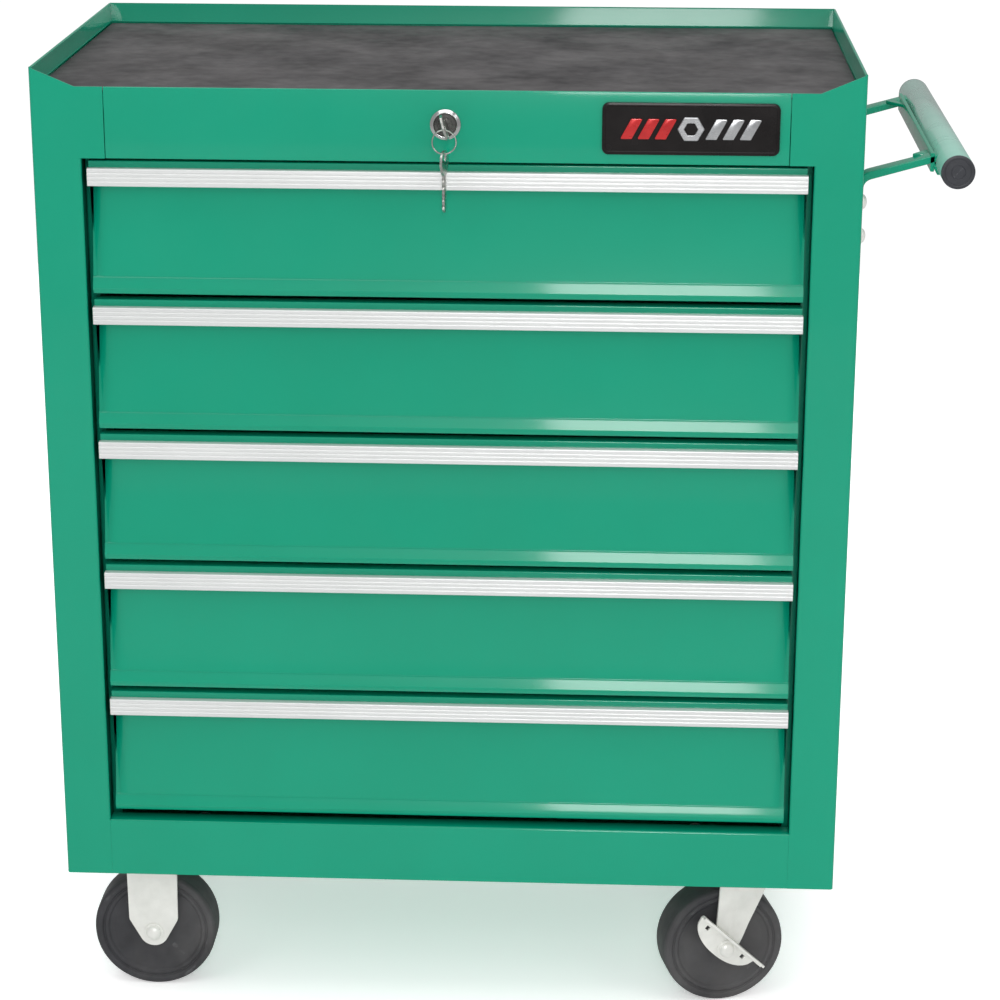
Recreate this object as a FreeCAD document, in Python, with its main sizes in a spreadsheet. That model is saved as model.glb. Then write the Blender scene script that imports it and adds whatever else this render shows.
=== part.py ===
import FreeCAD, Part
import math
import os

import Sketcher

# A rolling tool chest: a folded sheet-steel cabinet with five drawers, a lipped top tray, a key
# lock, a side handle and four casters. Millimetres. +X is the handle side, -Y is the drawer front,
# +Z is up, and the origin is on the floor under the middle of the cabinet.

DRAWERS = 5

# How far a cut runs past the metal on each side.
OVER = 1

# Shares that shape small rounded outlines.
BOW_SHOULDER, BOW_CORNER, BOW_END = 0.6, 0.8, 0.35
TREAD_CHAMFER = 0.3
HEAD_DOME = 0.6

# Driving sizes, one row each in the sheet: name, value.
SIZES = [
    # cabinet
    ("cab_width", 615), ("cab_depth", 333), ("sheet_t", 1), ("caster_clear", 28), ("skirt_drop", 13),
    ("rail_h", 47.5), ("fascia_h", 53.5), ("lip_rise", 14), ("stile_w", 36.5), ("ear_w", 54.5),
    ("ear_slope_w", 33.5), ("return_d", 16), ("hem_h", 10), ("fascia_hem_h", 8), ("rear_flange_w", 16),
    ("rail_return_d", 15.5), ("pan_t", 1.2), ("pan_flange_h", 15), ("deck_flange_h", 10),
    ("mat_t", 3), ("mat_drop", 2), ("mat_gap", 1),
    # drawers
    ("front_h", 101.5), ("front_rise", 5), ("drawer_gap", 4.8), ("top_gap", 2.5), ("bottom_gap", 7.8),
    ("side_gap", 4.5), ("drawer_t", 0.9), ("face_setback", 5), ("face_hollow", 12), ("face_bulge", 3),
    ("hollow_drop", 16), ("foot_lip", 9.5), ("face_flange_d", 11), ("tray_back_gap", 33),
    ("tray_rim_drop", 20), ("tray_rim_w", 5),
    ("pull_h", 13.5), ("pull_proud", 1), ("pull_t", 1.5), ("pull_over", 0.5), ("pull_hook_d", 5),
    # ball-bearing slides
    ("slide_w", 12.7), ("slide_drop", 60), ("rail_front_y", 18), ("rail_back_gap", 15), ("outer_h", 35),
    ("mid_set", 2), ("mid_short", 20), ("inner_front_y", 16), ("slide_t", 1.2), ("slide_play", 1.8),
    ("ball_gap_out", 2.3), ("ball_gap_in", 2.8), ("post_w", 30), ("post_front_y", 45),
    ("post_rear_gap", 48), ("post_gap", 1), ("post_setback", 4.3),
    # lock
    ("lock_rise", 28.2), ("bezel_rim", 1.5), ("bezel_proud", 3), ("barrel_wall", 0.5), ("barrel_len", 24),
    ("plug_face_r", 8.45), ("plug_face_t", 4), ("plug_r", 6), ("run_gap", 0.05), ("plug_inset", 0.6),
    ("plug_tail", 2), ("key_tilt", 17), ("key_t", 2), ("keyway_gap", 0.2), ("key_gap", 0.4),
    ("blade_h", 7), ("blade_len", 20), ("bow_r", 7.5), ("bow_len", 18), ("bow_neck", 2),
    ("bow_bevel", 3), ("bow_hole_r", 2.6), ("hole_inset", 4.6),
    ("ring_r", 8.6), ("ring_wire_r", 0.6), ("ring_play", 0.5),
    ("tail_r", 3), ("cam_arm", 10), ("cam_t", 3), ("cam_w", 9), ("cam_pin_r", 2), ("cam_pin_len", 5),
    ("cam_end", 1), ("cam_rest_deg", 28), ("slot_gap", 1.4), ("slot_wall", 3), ("bar_w", 18),
    ("bar_t", 2), ("bar_x", 8.5), ("bar_head", 6), ("bar_back_gap", 6), ("cam_bar_gap", 1),
    ("hook_gap", 3), ("hook_t", 3), ("hook_drop", 30), ("guide_gap", 0.5), ("guide_t", 1.5),
    ("guide_h", 14),
    # badge
    ("badge_gap", 8), ("badge_w", 130), ("badge_h", 38.5), ("badge_rise", 26.7), ("badge_t", 2),
    ("badge_round", 5),
    # handle
    ("grip_d", 25), ("grip_wall", 1.5), ("grip_reach", 68.5), ("grip_drop", 71), ("cap_t", 2),
    ("cap_plug_len", 12), ("arm_w", 16), ("arm_t", 6), ("arm_drop", 14), ("arm_rise", 17),
    ("foot_t", 3), ("foot_len", 66), ("cross_t", 3), ("cross_h", 14), ("cross_gap", 1),
    ("foot_bolt_1", 24), ("foot_bolt_2", 50), ("foot_bolt_r", 3), ("bolt_play", 0.2),
    ("foot_head_r", 5.5), ("foot_head_t", 3.5), ("foot_nut_r", 5.8), ("foot_nut_t", 5),
    # casters
    ("wheel_d", 100), ("wheel_w", 30), ("hub_proud", 3), ("hub_r", 12), ("tread_h", 8),
    ("tread_round", 4), ("web_dish", 6), ("web_step", 2), ("axle_r", 4), ("hub_play", 1),
    ("fork_t", 2.5), ("leg_top_w", 45), ("leg_end_r", 12), ("rigid_top_w", 41.5),
    ("rigid_low_w", 40), ("rigid_taper_h", 11.5), ("plate_len", 95), ("plate_w", 67),
    ("plate_t", 2.5), ("plate_round", 6), ("hole_edge_x", 9.5), ("hole_edge_y", 11.25),
    ("plate_bolt_r", 4), ("plate_bolt_gap", 0.3),
    ("bolt_head_r", 6.5), ("bolt_head_t", 5), ("bolt_nut_r", 7.5), ("bolt_nut_t", 6.5), ("bolt_end", 2),
    ("caster_inset", 45), ("rigid_inset", 63.5), ("swivel_inset", 70.5), ("trail", 17.5),
    ("caster_yaw", 14), ("crown_wall", 3.5), ("crown_h", 12), ("crown_t", 2.5), ("crown_gap", 0.8),
    ("race_r", 22), ("race_gap", 0.5), ("race_h", 8), ("king_r", 6), ("king_head_r", 9),
    ("king_head_t", 3), ("king_gap", 0.4), ("axle_head_r", 6.5), ("axle_head_t", 5),
    ("axle_nut_r", 7.2), ("axle_nut_t", 6), ("axle_end", 1),
    ("brake_t", 2), ("brake_gap", 0.3), ("brake_r", 39), ("brake_chord", 8), ("brake_low", 8),
    ("brake_shift", 5.3), ("brake_half", 31), ("brake_tilt", 40), ("brake_flange_h", 6), ("brake_tab", 9),
    ("brake_hole", 3.5), ("brake_hole_out", 20.5), ("brake_hole_up", 3.5), ("brake_head_gap", 1),
]

doc = FreeCAD.newDocument("tool_chest")
sheet = doc.addObject("Spreadsheet::Sheet", "Dims")
for row, (alias, value) in enumerate(SIZES, start=1):
    sheet.set(f"A{row}", alias)
    sheet.set(f"B{row}", str(value))
    sheet.setAlias(f"B{row}", alias)
doc.recompute()


class Size:
    """A length or an angle that carries its number and the sheet expression that gives it."""

    def __init__(self, number, text):
        self.number = number
        self.text = text

    def __add__(self, other):
        other = size(other)
        return Size(self.number + other.number, f"({self.text} + {other.text})")

    def __sub__(self, other):
        other = size(other)
        return Size(self.number - other.number, f"({self.text} - {other.text})")

    def __mul__(self, other):
        other = size(other)
        return Size(self.number * other.number, f"({self.text} * {other.text})")

    def __truediv__(self, other):
        other = size(other)
        return Size(self.number / other.number, f"({self.text} / {other.text})")

    def __neg__(self):
        return Size(-self.number, f"(0 - {self.text})")

    def __radd__(self, other):
        return size(other) + self

    def __rsub__(self, other):
        return size(other) - self

    def __rmul__(self, other):
        return size(other) * self


def size(value):
    """A plain number as a Size; a Size stays as it is."""
    return value if isinstance(value, Size) else Size(float(value), f"{float(value):g}")


def sine(angle):
    return Size(math.sin(math.radians(angle.number)), f"sin({angle.text} * 1 deg)")


def cosine(angle):
    return Size(math.cos(math.radians(angle.number)), f"cos({angle.text} * 1 deg)")


class Sizes:
    """The sheet's values by name, as Sizes."""


d = Sizes()
for alias, _ in SIZES:
    setattr(d, alias, Size(float(sheet.get(alias)), f"Dims.{alias}"))

PLANES = {"XY": ("XY_Plane", 1), "XZ": ("XZ_Plane", -1), "YZ": ("YZ_Plane", 1)}
pieces = []


def bind(item, path, value):
    """Ties one property of an object to the sheet."""
    item.setExpression(path, size(value).text)


def put(item, x, y, z, yaw=None):
    """Ties an object's place, and its turn about Z, to the sheet."""
    x, y, z = size(x), size(y), size(z)
    turn = FreeCAD.Rotation(FreeCAD.Vector(0, 0, 1), yaw.number if yaw else 0)
    item.Placement = FreeCAD.Placement(FreeCAD.Vector(x.number, y.number, z.number), turn)
    for axis, value in zip("xyz", (x, y, z)):
        bind(item, f".Placement.Base.{axis}", value)
    if yaw:
        bind(item, ".Placement.Rotation.Angle", yaw)


def circle(u, v, radius):
    return ("circle", size(u), size(v), size(radius))


def rect(u0, v0, u1, v1):
    return [(u0, v0), (u1, v0), (u1, v1), (u0, v1)]


def mirrored(loop):
    """The same outline on the other side of the sketch's vertical axis."""
    return [(-size(u), v) for u, v in loop]


def pin_point(rules, formulas, geometry, end, u, v):
    """Ties one sketch point to the sketch's origin, each way by its own formula."""
    for kind, value, axis in (("DistanceX", u, -2), ("DistanceY", v, -1)):
        if value.text == "0":
            rules.append(Sketcher.Constraint("PointOnObject", geometry, end, axis))
        else:
            formulas.append((len(rules), value.text))
            rules.append(Sketcher.Constraint(kind, -1, 1, geometry, end, value.number))


def draw(sketch, loops):
    """Draws closed outlines and circles in a sketch, every point tied to the sheet."""
    shapes, rules, formulas = [], [], []
    for loop in loops:
        first = len(shapes)
        if loop[0] == "circle":
            _, u, v, radius = loop
            centre = FreeCAD.Vector(u.number, v.number, 0)
            shapes.append(Part.Circle(centre, FreeCAD.Vector(0, 0, 1), radius.number))
            pin_point(rules, formulas, first, 3, u, v)
            formulas.append((len(rules), radius.text))
            rules.append(Sketcher.Constraint("Radius", first, radius.number))
            continue
        points = [(size(u), size(v)) for u, v in loop]
        count = len(points)
        for n, (u, v) in enumerate(points):
            after = points[(n + 1) % count]
            start = FreeCAD.Vector(u.number, v.number, 0)
            shapes.append(Part.LineSegment(start, FreeCAD.Vector(after[0].number, after[1].number, 0)))
        for n, (u, v) in enumerate(points):
            rules.append(Sketcher.Constraint("Coincident", first + n, 2, first + (n + 1) % count, 1))
            pin_point(rules, formulas, first + n, 1, u, v)
    sketch.addGeometry(shapes, False)
    sketch.addConstraint(rules)
    for index, text in formulas:
        sketch.setExpression(f"Constraints[{index}]", text)


class Piece:
    """A PartDesign body whose sketches and features are tied to the sheet."""

    def __init__(self, label, node=True, many=False):
        self.body = doc.addObject("PartDesign::Body", label)
        self.body.Label = label
        self.body.AllowCompound = many
        self.count = 0
        if node:
            pieces.append(self.body)

    def sketch(self, plane, loops, start=0):
        self.count += 1
        role, sign = PLANES[plane]
        base = next(item for item in self.body.Origin.OriginFeatures if item.Role == role)
        sketch = self.body.newObject("Sketcher::SketchObject", f"{self.body.Name}_sketch_{self.count}")
        sketch.AttachmentSupport = [(base, "")]
        sketch.MapMode = "FlatFace"
        offset = sign * size(start)
        sketch.AttachmentOffset = FreeCAD.Placement(FreeCAD.Vector(0, 0, offset.number), FreeCAD.Rotation())
        bind(sketch, "AttachmentOffset.Base.z", offset)
        draw(sketch, loops)
        return sketch, sign

    def feature(self, kind, sketch):
        item = self.body.newObject(f"PartDesign::{kind}", f"{self.body.Name}_{kind.lower()}_{self.count}")
        item.Profile = sketch
        self.body.Tip = item
        return item

    def pad(self, plane, loops, start, length):
        """Adds a prism from start, length long, along the positive axis across the plane."""
        sketch, sign = self.sketch(plane, loops, start)
        item = self.feature("Pad", sketch)
        bind(item, "Length", length)
        item.Reversed = sign < 0
        return self

    def cut(self, plane, loops, start, length):
        """Removes a prism from start, length long, along the positive axis across the plane."""
        sketch, sign = self.sketch(plane, loops, start)
        item = self.feature("Pocket", sketch)
        bind(item, "Length", length)
        item.Reversed = sign > 0
        return self

    def spin(self, plane, loops, axis, groove=False):
        """Turns an outline all the way round the sketch's H_Axis or V_Axis."""
        sketch, _ = self.sketch(plane, loops)
        item = self.feature("Groove" if groove else "Revolution", sketch)
        item.ReferenceAxis = (sketch, [axis])
        item.Angle = 360
        return self

    def round(self, radius, chosen):
        """Rounds the edges that the test picks."""
        doc.recompute()
        tip = self.body.Tip
        names = [f"Edge{n}" for n, edge in enumerate(tip.Shape.Edges, start=1) if chosen(edge)]
        item = self.body.newObject("PartDesign::Fillet", f"{self.body.Name}_round")
        item.Base = (tip, names)
        bind(item, "Radius", radius)
        self.body.Tip = item
        return self

    def put(self, x, y, z, yaw=None):
        put(self.body, x, y, z, yaw)
        return self


def group(label, *parts):
    """Several separate solids under one node."""
    item = doc.addObject("Part::Compound", label)
    item.Label = label
    item.Links = [part.body for part in parts]
    pieces.append(item)
    return item


def along(edge, axis):
    """True for a straight edge along X, Y or Z."""
    if not isinstance(edge.Curve, Part.Line):
        return False
    return abs(getattr(edge.Curve.Direction, axis)) > 0.999


def hexagon(u, v, radius):
    """A hexagon's six corners round a centre."""
    corners = []
    for n in range(6):
        angle = math.radians(60 * n)
        corners.append((size(u) + math.cos(angle) * radius, size(v) + math.sin(angle) * radius))
    return corners


# Levels and planes that several pieces share.
half_w = d.cab_width / 2
front = -(d.cab_depth / 2)
back = d.cab_depth / 2
caster_h = d.wheel_d + d.caster_clear
skirt_z = caster_h - d.skirt_drop
open_z = skirt_z + d.rail_h
open_h = DRAWERS * d.front_h + (DRAWERS - 1) * d.drawer_gap + d.top_gap + d.bottom_gap
fascia_z = open_z + open_h
lip_z = fascia_z + d.fascia_h
top_z = lip_z + d.lip_rise
open_half = half_w - d.stile_w
ear_x = half_w - d.ear_w
wall_x = half_w - d.sheet_t
back_wall = back - 2 * d.sheet_t
mat_top = lip_z - d.mat_drop
deck_top = mat_top - d.mat_t
deck_under = deck_top - d.sheet_t
pan_top = caster_h + d.pan_t
post_x = open_half - d.post_setback
tray_half = post_x - d.slide_w
face_half = open_half - d.side_gap
lock_z = fascia_z + d.lock_rise
pull_pitch = d.front_h + d.drawer_gap
grip_x = half_w + d.grip_reach
grip_z = top_z - d.grip_drop
arm_z = grip_z - d.arm_drop
foot_x = half_w + d.foot_t
foot_top = arm_z + d.arm_t
bar_y = back_wall - d.bar_back_gap - d.bar_t
tray_back_y = d.cab_depth - d.tray_back_gap
post_places = (d.post_front_y, d.cab_depth - d.post_rear_gap)


def pull_top(number):
    """The height of drawer number's pull, counted from 1 at the top."""
    return fascia_z - d.top_gap - d.front_rise - (number - 1) * pull_pitch


def foot_bolts(radius):
    """Circles at the handle bolts' places on the side sheet."""
    return [
        circle(front + y, foot_top - drop, radius)
        for y in post_places for drop in (d.foot_bolt_1, d.foot_bolt_2)
    ]


# ---------------------------------------------------------------- cabinet

def side_panel(label, side, handle_holes):
    """A side sheet folded into a front stile with a raised ear, a return, a back flange and a hem."""
    def at(x):
        return size(x) if side > 0 else -size(x)

    def wall(x_low, thick):
        """Where a sheet that starts at x_low on the right starts on this side."""
        return x_low if side > 0 else -(size(x_low) + thick)

    piece = Piece(label)
    piece.pad("YZ", [rect(front, skirt_z, back, top_z)], wall(wall_x, d.sheet_t), d.sheet_t)
    stile = [
        (at(half_w), skirt_z), (at(half_w), top_z), (at(half_w - d.ear_slope_w), lip_z), (at(ear_x), lip_z),
        (at(ear_x), fascia_z), (at(open_half), fascia_z), (at(open_half), skirt_z),
    ]
    piece.pad("XZ", [stile], front, d.sheet_t)
    fold = rect(front, open_z, front + d.return_d, fascia_z)
    piece.pad("YZ", [fold], wall(open_half, d.sheet_t), d.sheet_t)
    flange = rect(at(half_w - d.rear_flange_w), skirt_z, at(half_w), top_z)
    piece.pad("XZ", [flange], back - d.sheet_t, d.sheet_t)
    hem = rect(front + d.sheet_t, top_z - d.hem_h, back_wall, top_z)
    piece.pad("YZ", [hem], wall(wall_x - d.sheet_t, d.sheet_t), d.sheet_t)
    if handle_holes:
        piece.cut("YZ", foot_bolts(d.foot_bolt_r + d.bolt_play), wall_x - OVER, d.sheet_t + 2 * OVER)


side_panel("side_panel_left", -1, False)
side_panel("side_panel_right", 1, True)

# The back sheet lies inside the side panels' back flanges and carries two loops for the lock bar.
back_panel = Piece("back_panel")
back_panel.pad("XZ", [rect(-wall_x, skirt_z, wall_x, top_z)], back_wall, d.sheet_t)
hem_x = wall_x - d.sheet_t
back_panel.pad("XZ", [rect(-hem_x, top_z - d.hem_h, hem_x, top_z)], back_wall - d.sheet_t, d.sheet_t)
guide_in = d.bar_w / 2 + d.guide_gap
guide_out = guide_in + d.guide_t
guide_near = bar_y - d.guide_gap
for guide_z in (pull_top(1) - d.guide_h, pull_top(DRAWERS)):
    loop = [
        (d.bar_x - guide_out, back_wall), (d.bar_x - guide_out, guide_near - d.guide_t),
        (d.bar_x + guide_out, guide_near - d.guide_t), (d.bar_x + guide_out, back_wall),
        (d.bar_x + guide_in, back_wall), (d.bar_x + guide_in, guide_near),
        (d.bar_x - guide_in, guide_near), (d.bar_x - guide_in, back_wall),
    ]
    back_panel.pad("XY", [loop], guide_z, d.guide_h)

# The floor pan: a tray with upturned flanges, holed for the casters' bolts.
pan_front = front + d.sheet_t
base_panel = Piece("base_panel")
base_panel.pad("XY", [rect(-wall_x, pan_front, wall_x, back_wall)], caster_h, d.pan_t + d.pan_flange_h)
pan_in = wall_x - d.pan_t
base_panel.cut(
    "XY", [rect(-pan_in, pan_front + d.pan_t, pan_in, back_wall - d.pan_t)], pan_top, d.pan_flange_h + OVER)


def caster_centres():
    """The four caster plates' centres: left rigid pair first, then the right swivel pair."""
    near, far = front + d.caster_inset, back - d.caster_inset
    left, right = d.rigid_inset - half_w, half_w - d.swivel_inset
    return [(left, near), (left, far), (right, near), (right, far)]


def plate_holes(x, y, radius):
    """Four circles at a caster plate's bolt places."""
    out_x = d.plate_len / 2 - d.hole_edge_x
    out_y = d.plate_w / 2 - d.hole_edge_y
    return [circle(x + sx * out_x, y + sy * out_y, radius) for sx in (-1, 1) for sy in (-1, 1)]


plate_hole_r = d.plate_bolt_r + d.plate_bolt_gap
all_holes = [hole for x, y in caster_centres() for hole in plate_holes(x, y, plate_hole_r)]
base_panel.cut("XY", all_holes, caster_h - OVER, d.pan_t + 2 * OVER)

# The front sheet above the drawers: hemmed lip at the top, folded back at the bottom.
top_fascia = Piece("top_fascia")
fascia_profile = [
    (front, fascia_z), (front, lip_z), (front + 2 * d.sheet_t, lip_z),
    (front + 2 * d.sheet_t, lip_z - d.fascia_hem_h), (front + d.sheet_t, lip_z - d.fascia_hem_h),
    (front + d.sheet_t, fascia_z + d.sheet_t), (front + d.return_d, fascia_z + d.sheet_t),
    (front + d.return_d, fascia_z),
]
top_fascia.pad("YZ", [fascia_profile], -ear_x, 2 * ear_x)
barrel_r = d.plug_face_r + d.run_gap + d.barrel_wall
top_fascia.cut("XZ", [circle(0, lock_z, barrel_r)], front - OVER, d.sheet_t + 2 * OVER)

# The front sheet below the drawers, folded back and down at its top.
bottom_rail = Piece("bottom_rail")
rail_back = front + d.rail_return_d
rail_lip = 2 * d.sheet_t + d.bottom_gap / 2
rail_profile = [
    (front, skirt_z), (front, open_z), (rail_back, open_z), (rail_back, open_z - rail_lip),
    (rail_back - d.sheet_t, open_z - rail_lip), (rail_back - d.sheet_t, open_z - d.sheet_t),
    (front + d.sheet_t, open_z - d.sheet_t), (front + d.sheet_t, skirt_z),
]
bottom_rail.pad("YZ", [rail_profile], -open_half, 2 * open_half)

# The deck under the mat, with flanges turned down all round.
deck_front = front + 2 * d.sheet_t
top_tray = Piece("top_tray")
top_tray.pad(
    "XY", [rect(-wall_x, deck_front, wall_x, back_wall)], deck_top - d.deck_flange_h, d.deck_flange_h)
top_tray.cut(
    "XY", [rect(-hem_x, deck_front + d.sheet_t, hem_x, back_wall - d.sheet_t)],
    deck_under - d.deck_flange_h, d.deck_flange_h)

mat_half = hem_x - d.mat_gap
top_mat = Piece("top_mat")
top_mat.pad(
    "XY", [rect(-mat_half, deck_front + d.mat_gap, mat_half, back_wall - d.sheet_t - d.mat_gap)],
    deck_top, d.mat_t)

# Four folded posts that hold the slides clear of the side sheets.
slide_uprights = Piece("slide_uprights", many=True)
post_loops = []
for post_y in post_places:
    low, high = front + post_y - d.post_w / 2, front + post_y + d.post_w / 2
    post = [
        (post_x, low), (wall_x, low), (wall_x, low + d.sheet_t), (post_x + d.sheet_t, low + d.sheet_t),
        (post_x + d.sheet_t, high - d.sheet_t), (wall_x, high - d.sheet_t), (wall_x, high), (post_x, high),
    ]
    post_loops += [post, mirrored(post)]
post_low = pan_top + d.pan_flange_h + d.post_gap
slide_uprights.pad("XY", post_loops, post_low, deck_top - d.deck_flange_h - d.post_gap - post_low)


# ---------------------------------------------------------------- slides

def channel(x_web, x_lip, half_h, z, thick):
    """A C-section in the XZ plane: its web at x_web, its two flanges reaching to x_lip."""
    turn = 1 if x_lip.number > x_web.number else -1
    inner = x_web + turn * thick
    return [
        (x_web, z - half_h), (x_lip, z - half_h), (x_lip, z - half_h + thick), (inner, z - half_h + thick),
        (inner, z + half_h - thick), (x_lip, z + half_h - thick), (x_lip, z + half_h), (x_web, z + half_h),
    ]


slide_lip = tray_half + d.slide_t + d.slide_play
outer_rails = Piece("slide_outer_rails", many=True)
outer_loops = []
for number in range(1, DRAWERS + 1):
    rail_z = pull_top(number) - d.slide_drop
    outer = channel(post_x, slide_lip, d.outer_h / 2, rail_z, d.slide_t)
    outer_loops += [outer, mirrored(outer)]
outer_len = d.cab_depth - d.rail_front_y - d.rail_back_gap
outer_rails.pad("XZ", outer_loops, front + d.rail_front_y, outer_len)


# ---------------------------------------------------------------- drawers

def drawer_box(number):
    """A sheet tray with its hollow front: set back at the top, bulging to a bend, lipped below."""
    piece = Piece(f"drawer_{number}_box")
    thick = d.drawer_t
    foot = d.front_rise - d.front_h
    tray_front = d.face_hollow + 2 * thick
    flange_y = d.face_setback + d.face_flange_d
    bend = foot + d.foot_lip
    face = [
        (d.face_setback, d.front_rise), (d.face_setback, -d.pull_h), (d.face_hollow, -d.hollow_drop),
        (d.face_bulge, bend), (d.face_setback, foot), (flange_y, foot), (flange_y, foot + thick),
        (d.face_setback + thick, foot + thick), (d.face_bulge + thick, bend),
        (d.face_hollow + thick, -d.hollow_drop), (d.face_hollow + thick, thick - d.hollow_drop),
        (d.face_setback + thick, thick - d.pull_h), (d.face_setback + thick, d.front_rise - thick),
        (flange_y, d.front_rise - thick), (flange_y, d.front_rise),
    ]
    piece.pad("YZ", [face], -face_half, 2 * face_half)
    floor_z = foot + thick
    rim_z = -d.tray_rim_drop
    wall_y = d.face_hollow + thick
    piece.pad("XY", [rect(-tray_half, wall_y, tray_half, tray_back_y)], floor_z, rim_z - floor_z)
    inner_x = tray_half - thick
    piece.cut(
        "XY", [rect(-inner_x, tray_front, inner_x, tray_back_y - thick)],
        floor_z + thick, rim_z - floor_z)
    rim_out = rect(-tray_half, wall_y, tray_half, tray_back_y)
    rim_x = tray_half - d.tray_rim_w
    rim_in = rect(-rim_x, wall_y + d.tray_rim_w, rim_x, tray_back_y - d.tray_rim_w)
    piece.pad("XY", [rim_out, rim_in], rim_z - thick, thick)
    piece.put(0, front, pull_top(number))


def drawer_pull(number):
    """An extruded pull: a flat face with a flange on top and a hook along the bottom."""
    piece = Piece(f"drawer_{number}_pull")
    nose, thick = -d.pull_proud, d.pull_t
    profile = [
        (nose, 0), (d.face_setback, 0), (d.face_setback, -thick), (nose + thick, -thick),
        (nose + thick, thick - d.pull_h), (nose + d.pull_hook_d, thick - d.pull_h),
        (nose + d.pull_hook_d, -d.pull_h), (nose + thick / 2, -d.pull_h), (nose, thick / 2 - d.pull_h),
    ]
    half = face_half + d.pull_over
    piece.pad("YZ", [profile], -half, 2 * half)
    piece.put(0, front, pull_top(number))


def slide_pair(label, number, loop, start_y, length):
    """A left and a right slide member, mirror images, under one node."""
    piece = Piece(label, many=True)
    piece.pad("XZ", [loop, mirrored(loop)], start_y, length)
    piece.put(0, front, pull_top(number))


for number in range(1, DRAWERS + 1):
    drawer_box(number)
    drawer_pull(number)
    # the inner member is fixed to the tray and opens outwards
    mid_half_h = d.outer_h / 2 - d.slide_t - d.ball_gap_out
    inner_half_h = mid_half_h - d.slide_t - d.ball_gap_in
    inner_lip = post_x - 2 * (d.slide_t + d.slide_play)
    inner = channel(tray_half, inner_lip, inner_half_h, -d.slide_drop, d.slide_t)
    inner_len = tray_back_y - d.inner_front_y
    slide_pair(f"drawer_{number}_runners", number, inner, d.inner_front_y, inner_len)
    # the middle member opens inwards, round the inner one and inside the outer one
    mid_web = post_x - d.slide_t - d.slide_play
    middle = channel(mid_web, slide_lip, mid_half_h, -d.slide_drop, d.slide_t)
    mid_start = d.rail_front_y + d.mid_set
    slide_pair(f"drawer_{number}_mids", number, middle, mid_start, outer_len - d.mid_short)


# ---------------------------------------------------------------- lock

# The barrel is a turned piece: a bezel outside the fascia, a stepped bore for the plug.
lock_housing = Piece("lock_housing")
step_y = -d.bezel_proud + d.plug_inset + d.plug_face_t + d.run_gap
face_bore = d.plug_face_r + d.run_gap
bezel_r = barrel_r + d.bezel_rim
plug_bore = d.plug_r + d.run_gap
housing_profile = [
    (-d.bezel_proud, face_bore), (-d.bezel_proud, bezel_r), (0, bezel_r), (0, barrel_r),
    (d.barrel_len, barrel_r), (d.barrel_len, plug_bore), (step_y, plug_bore), (step_y, face_bore),
]
lock_housing.spin("YZ", [housing_profile], "H_Axis")
lock_housing.put(0, front, lock_z)

plug_face_y = d.plug_inset - d.bezel_proud
plug_end_y = d.barrel_len + d.plug_tail


def leaning(loop):
    """An outline drawn upright, turned by the key's tilt about the lock's axis."""
    c, s = cosine(d.key_tilt), sine(d.key_tilt)
    return [(u * c - v * s, u * s + v * c) for u, v in ((size(u), size(v)) for u, v in loop)]


lock_plug = Piece("lock_plug")
plug_profile = [
    (plug_face_y, 0), (plug_face_y, d.plug_face_r), (plug_face_y + d.plug_face_t, d.plug_face_r),
    (plug_face_y + d.plug_face_t, d.plug_r), (plug_end_y, d.plug_r), (plug_end_y, 0),
]
lock_plug.spin("YZ", [plug_profile], "H_Axis")
slot_x, slot_z = d.key_t / 2 + d.keyway_gap, d.blade_h / 2 + d.keyway_gap
keyway = rect(-slot_x, -slot_z, slot_x, slot_z)
lock_plug.cut("XZ", [leaning(mirrored(keyway))], plug_face_y - OVER, d.blade_len + OVER + d.keyway_gap)
lock_plug.put(0, front, lock_z)


shoulder_y = plug_face_y - d.key_gap
hole_y = shoulder_y - d.bow_len + d.hole_inset
blade_half = d.blade_h / 2
blade_tip = shoulder_y + d.blade_len
bow_end = shoulder_y - d.bow_len
key_half = [
    (blade_tip, 0), (blade_tip - blade_half, blade_half), (shoulder_y, blade_half),
    (shoulder_y - d.bow_neck, d.bow_r * BOW_SHOULDER), (shoulder_y - d.bow_len / 2, d.bow_r),
    (bow_end + d.bow_bevel, d.bow_r * BOW_CORNER), (bow_end, d.bow_r * BOW_END),
]
key_outline = key_half + [(y, -z) for y, z in reversed(key_half[1:])]
key = Piece("key")
key.pad("YZ", [key_outline], -(d.key_t / 2), d.key_t)
key.cut("YZ", [circle(hole_y, 0, d.bow_hole_r)], -d.key_t, 2 * d.key_t)

# The blade leans with the plug, so the key turns about the lock's axis.
key.body.Placement = FreeCAD.Placement(
    FreeCAD.Vector(0, front.number, lock_z.number),
    FreeCAD.Rotation(FreeCAD.Vector(0, -1, 0), d.key_tilt.number))
for axis, value in (("y", front), ("z", lock_z)):
    bind(key.body, f".Placement.Base.{axis}", value)
bind(key.body, ".Placement.Rotation.Angle", d.key_tilt)

# The split ring hangs from the bow's hole.
ring_hang = d.bow_hole_r - d.ring_wire_r - d.ring_play
key_ring = doc.addObject("Part::Torus", "key_ring")
key_ring.Label = "key_ring"
bind(key_ring, "Radius1", d.ring_r)
bind(key_ring, "Radius2", d.ring_wire_r)
ring_z = lock_z - ring_hang - d.ring_r
key_ring.Placement = FreeCAD.Placement(
    FreeCAD.Vector(0, (front + hole_y).number, ring_z.number),
    FreeCAD.Rotation(FreeCAD.Vector(1, 0, 0), 90))
bind(key_ring, ".Placement.Base.y", front + hole_y)
bind(key_ring, ".Placement.Base.z", ring_z)
pieces.append(key_ring)

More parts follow.
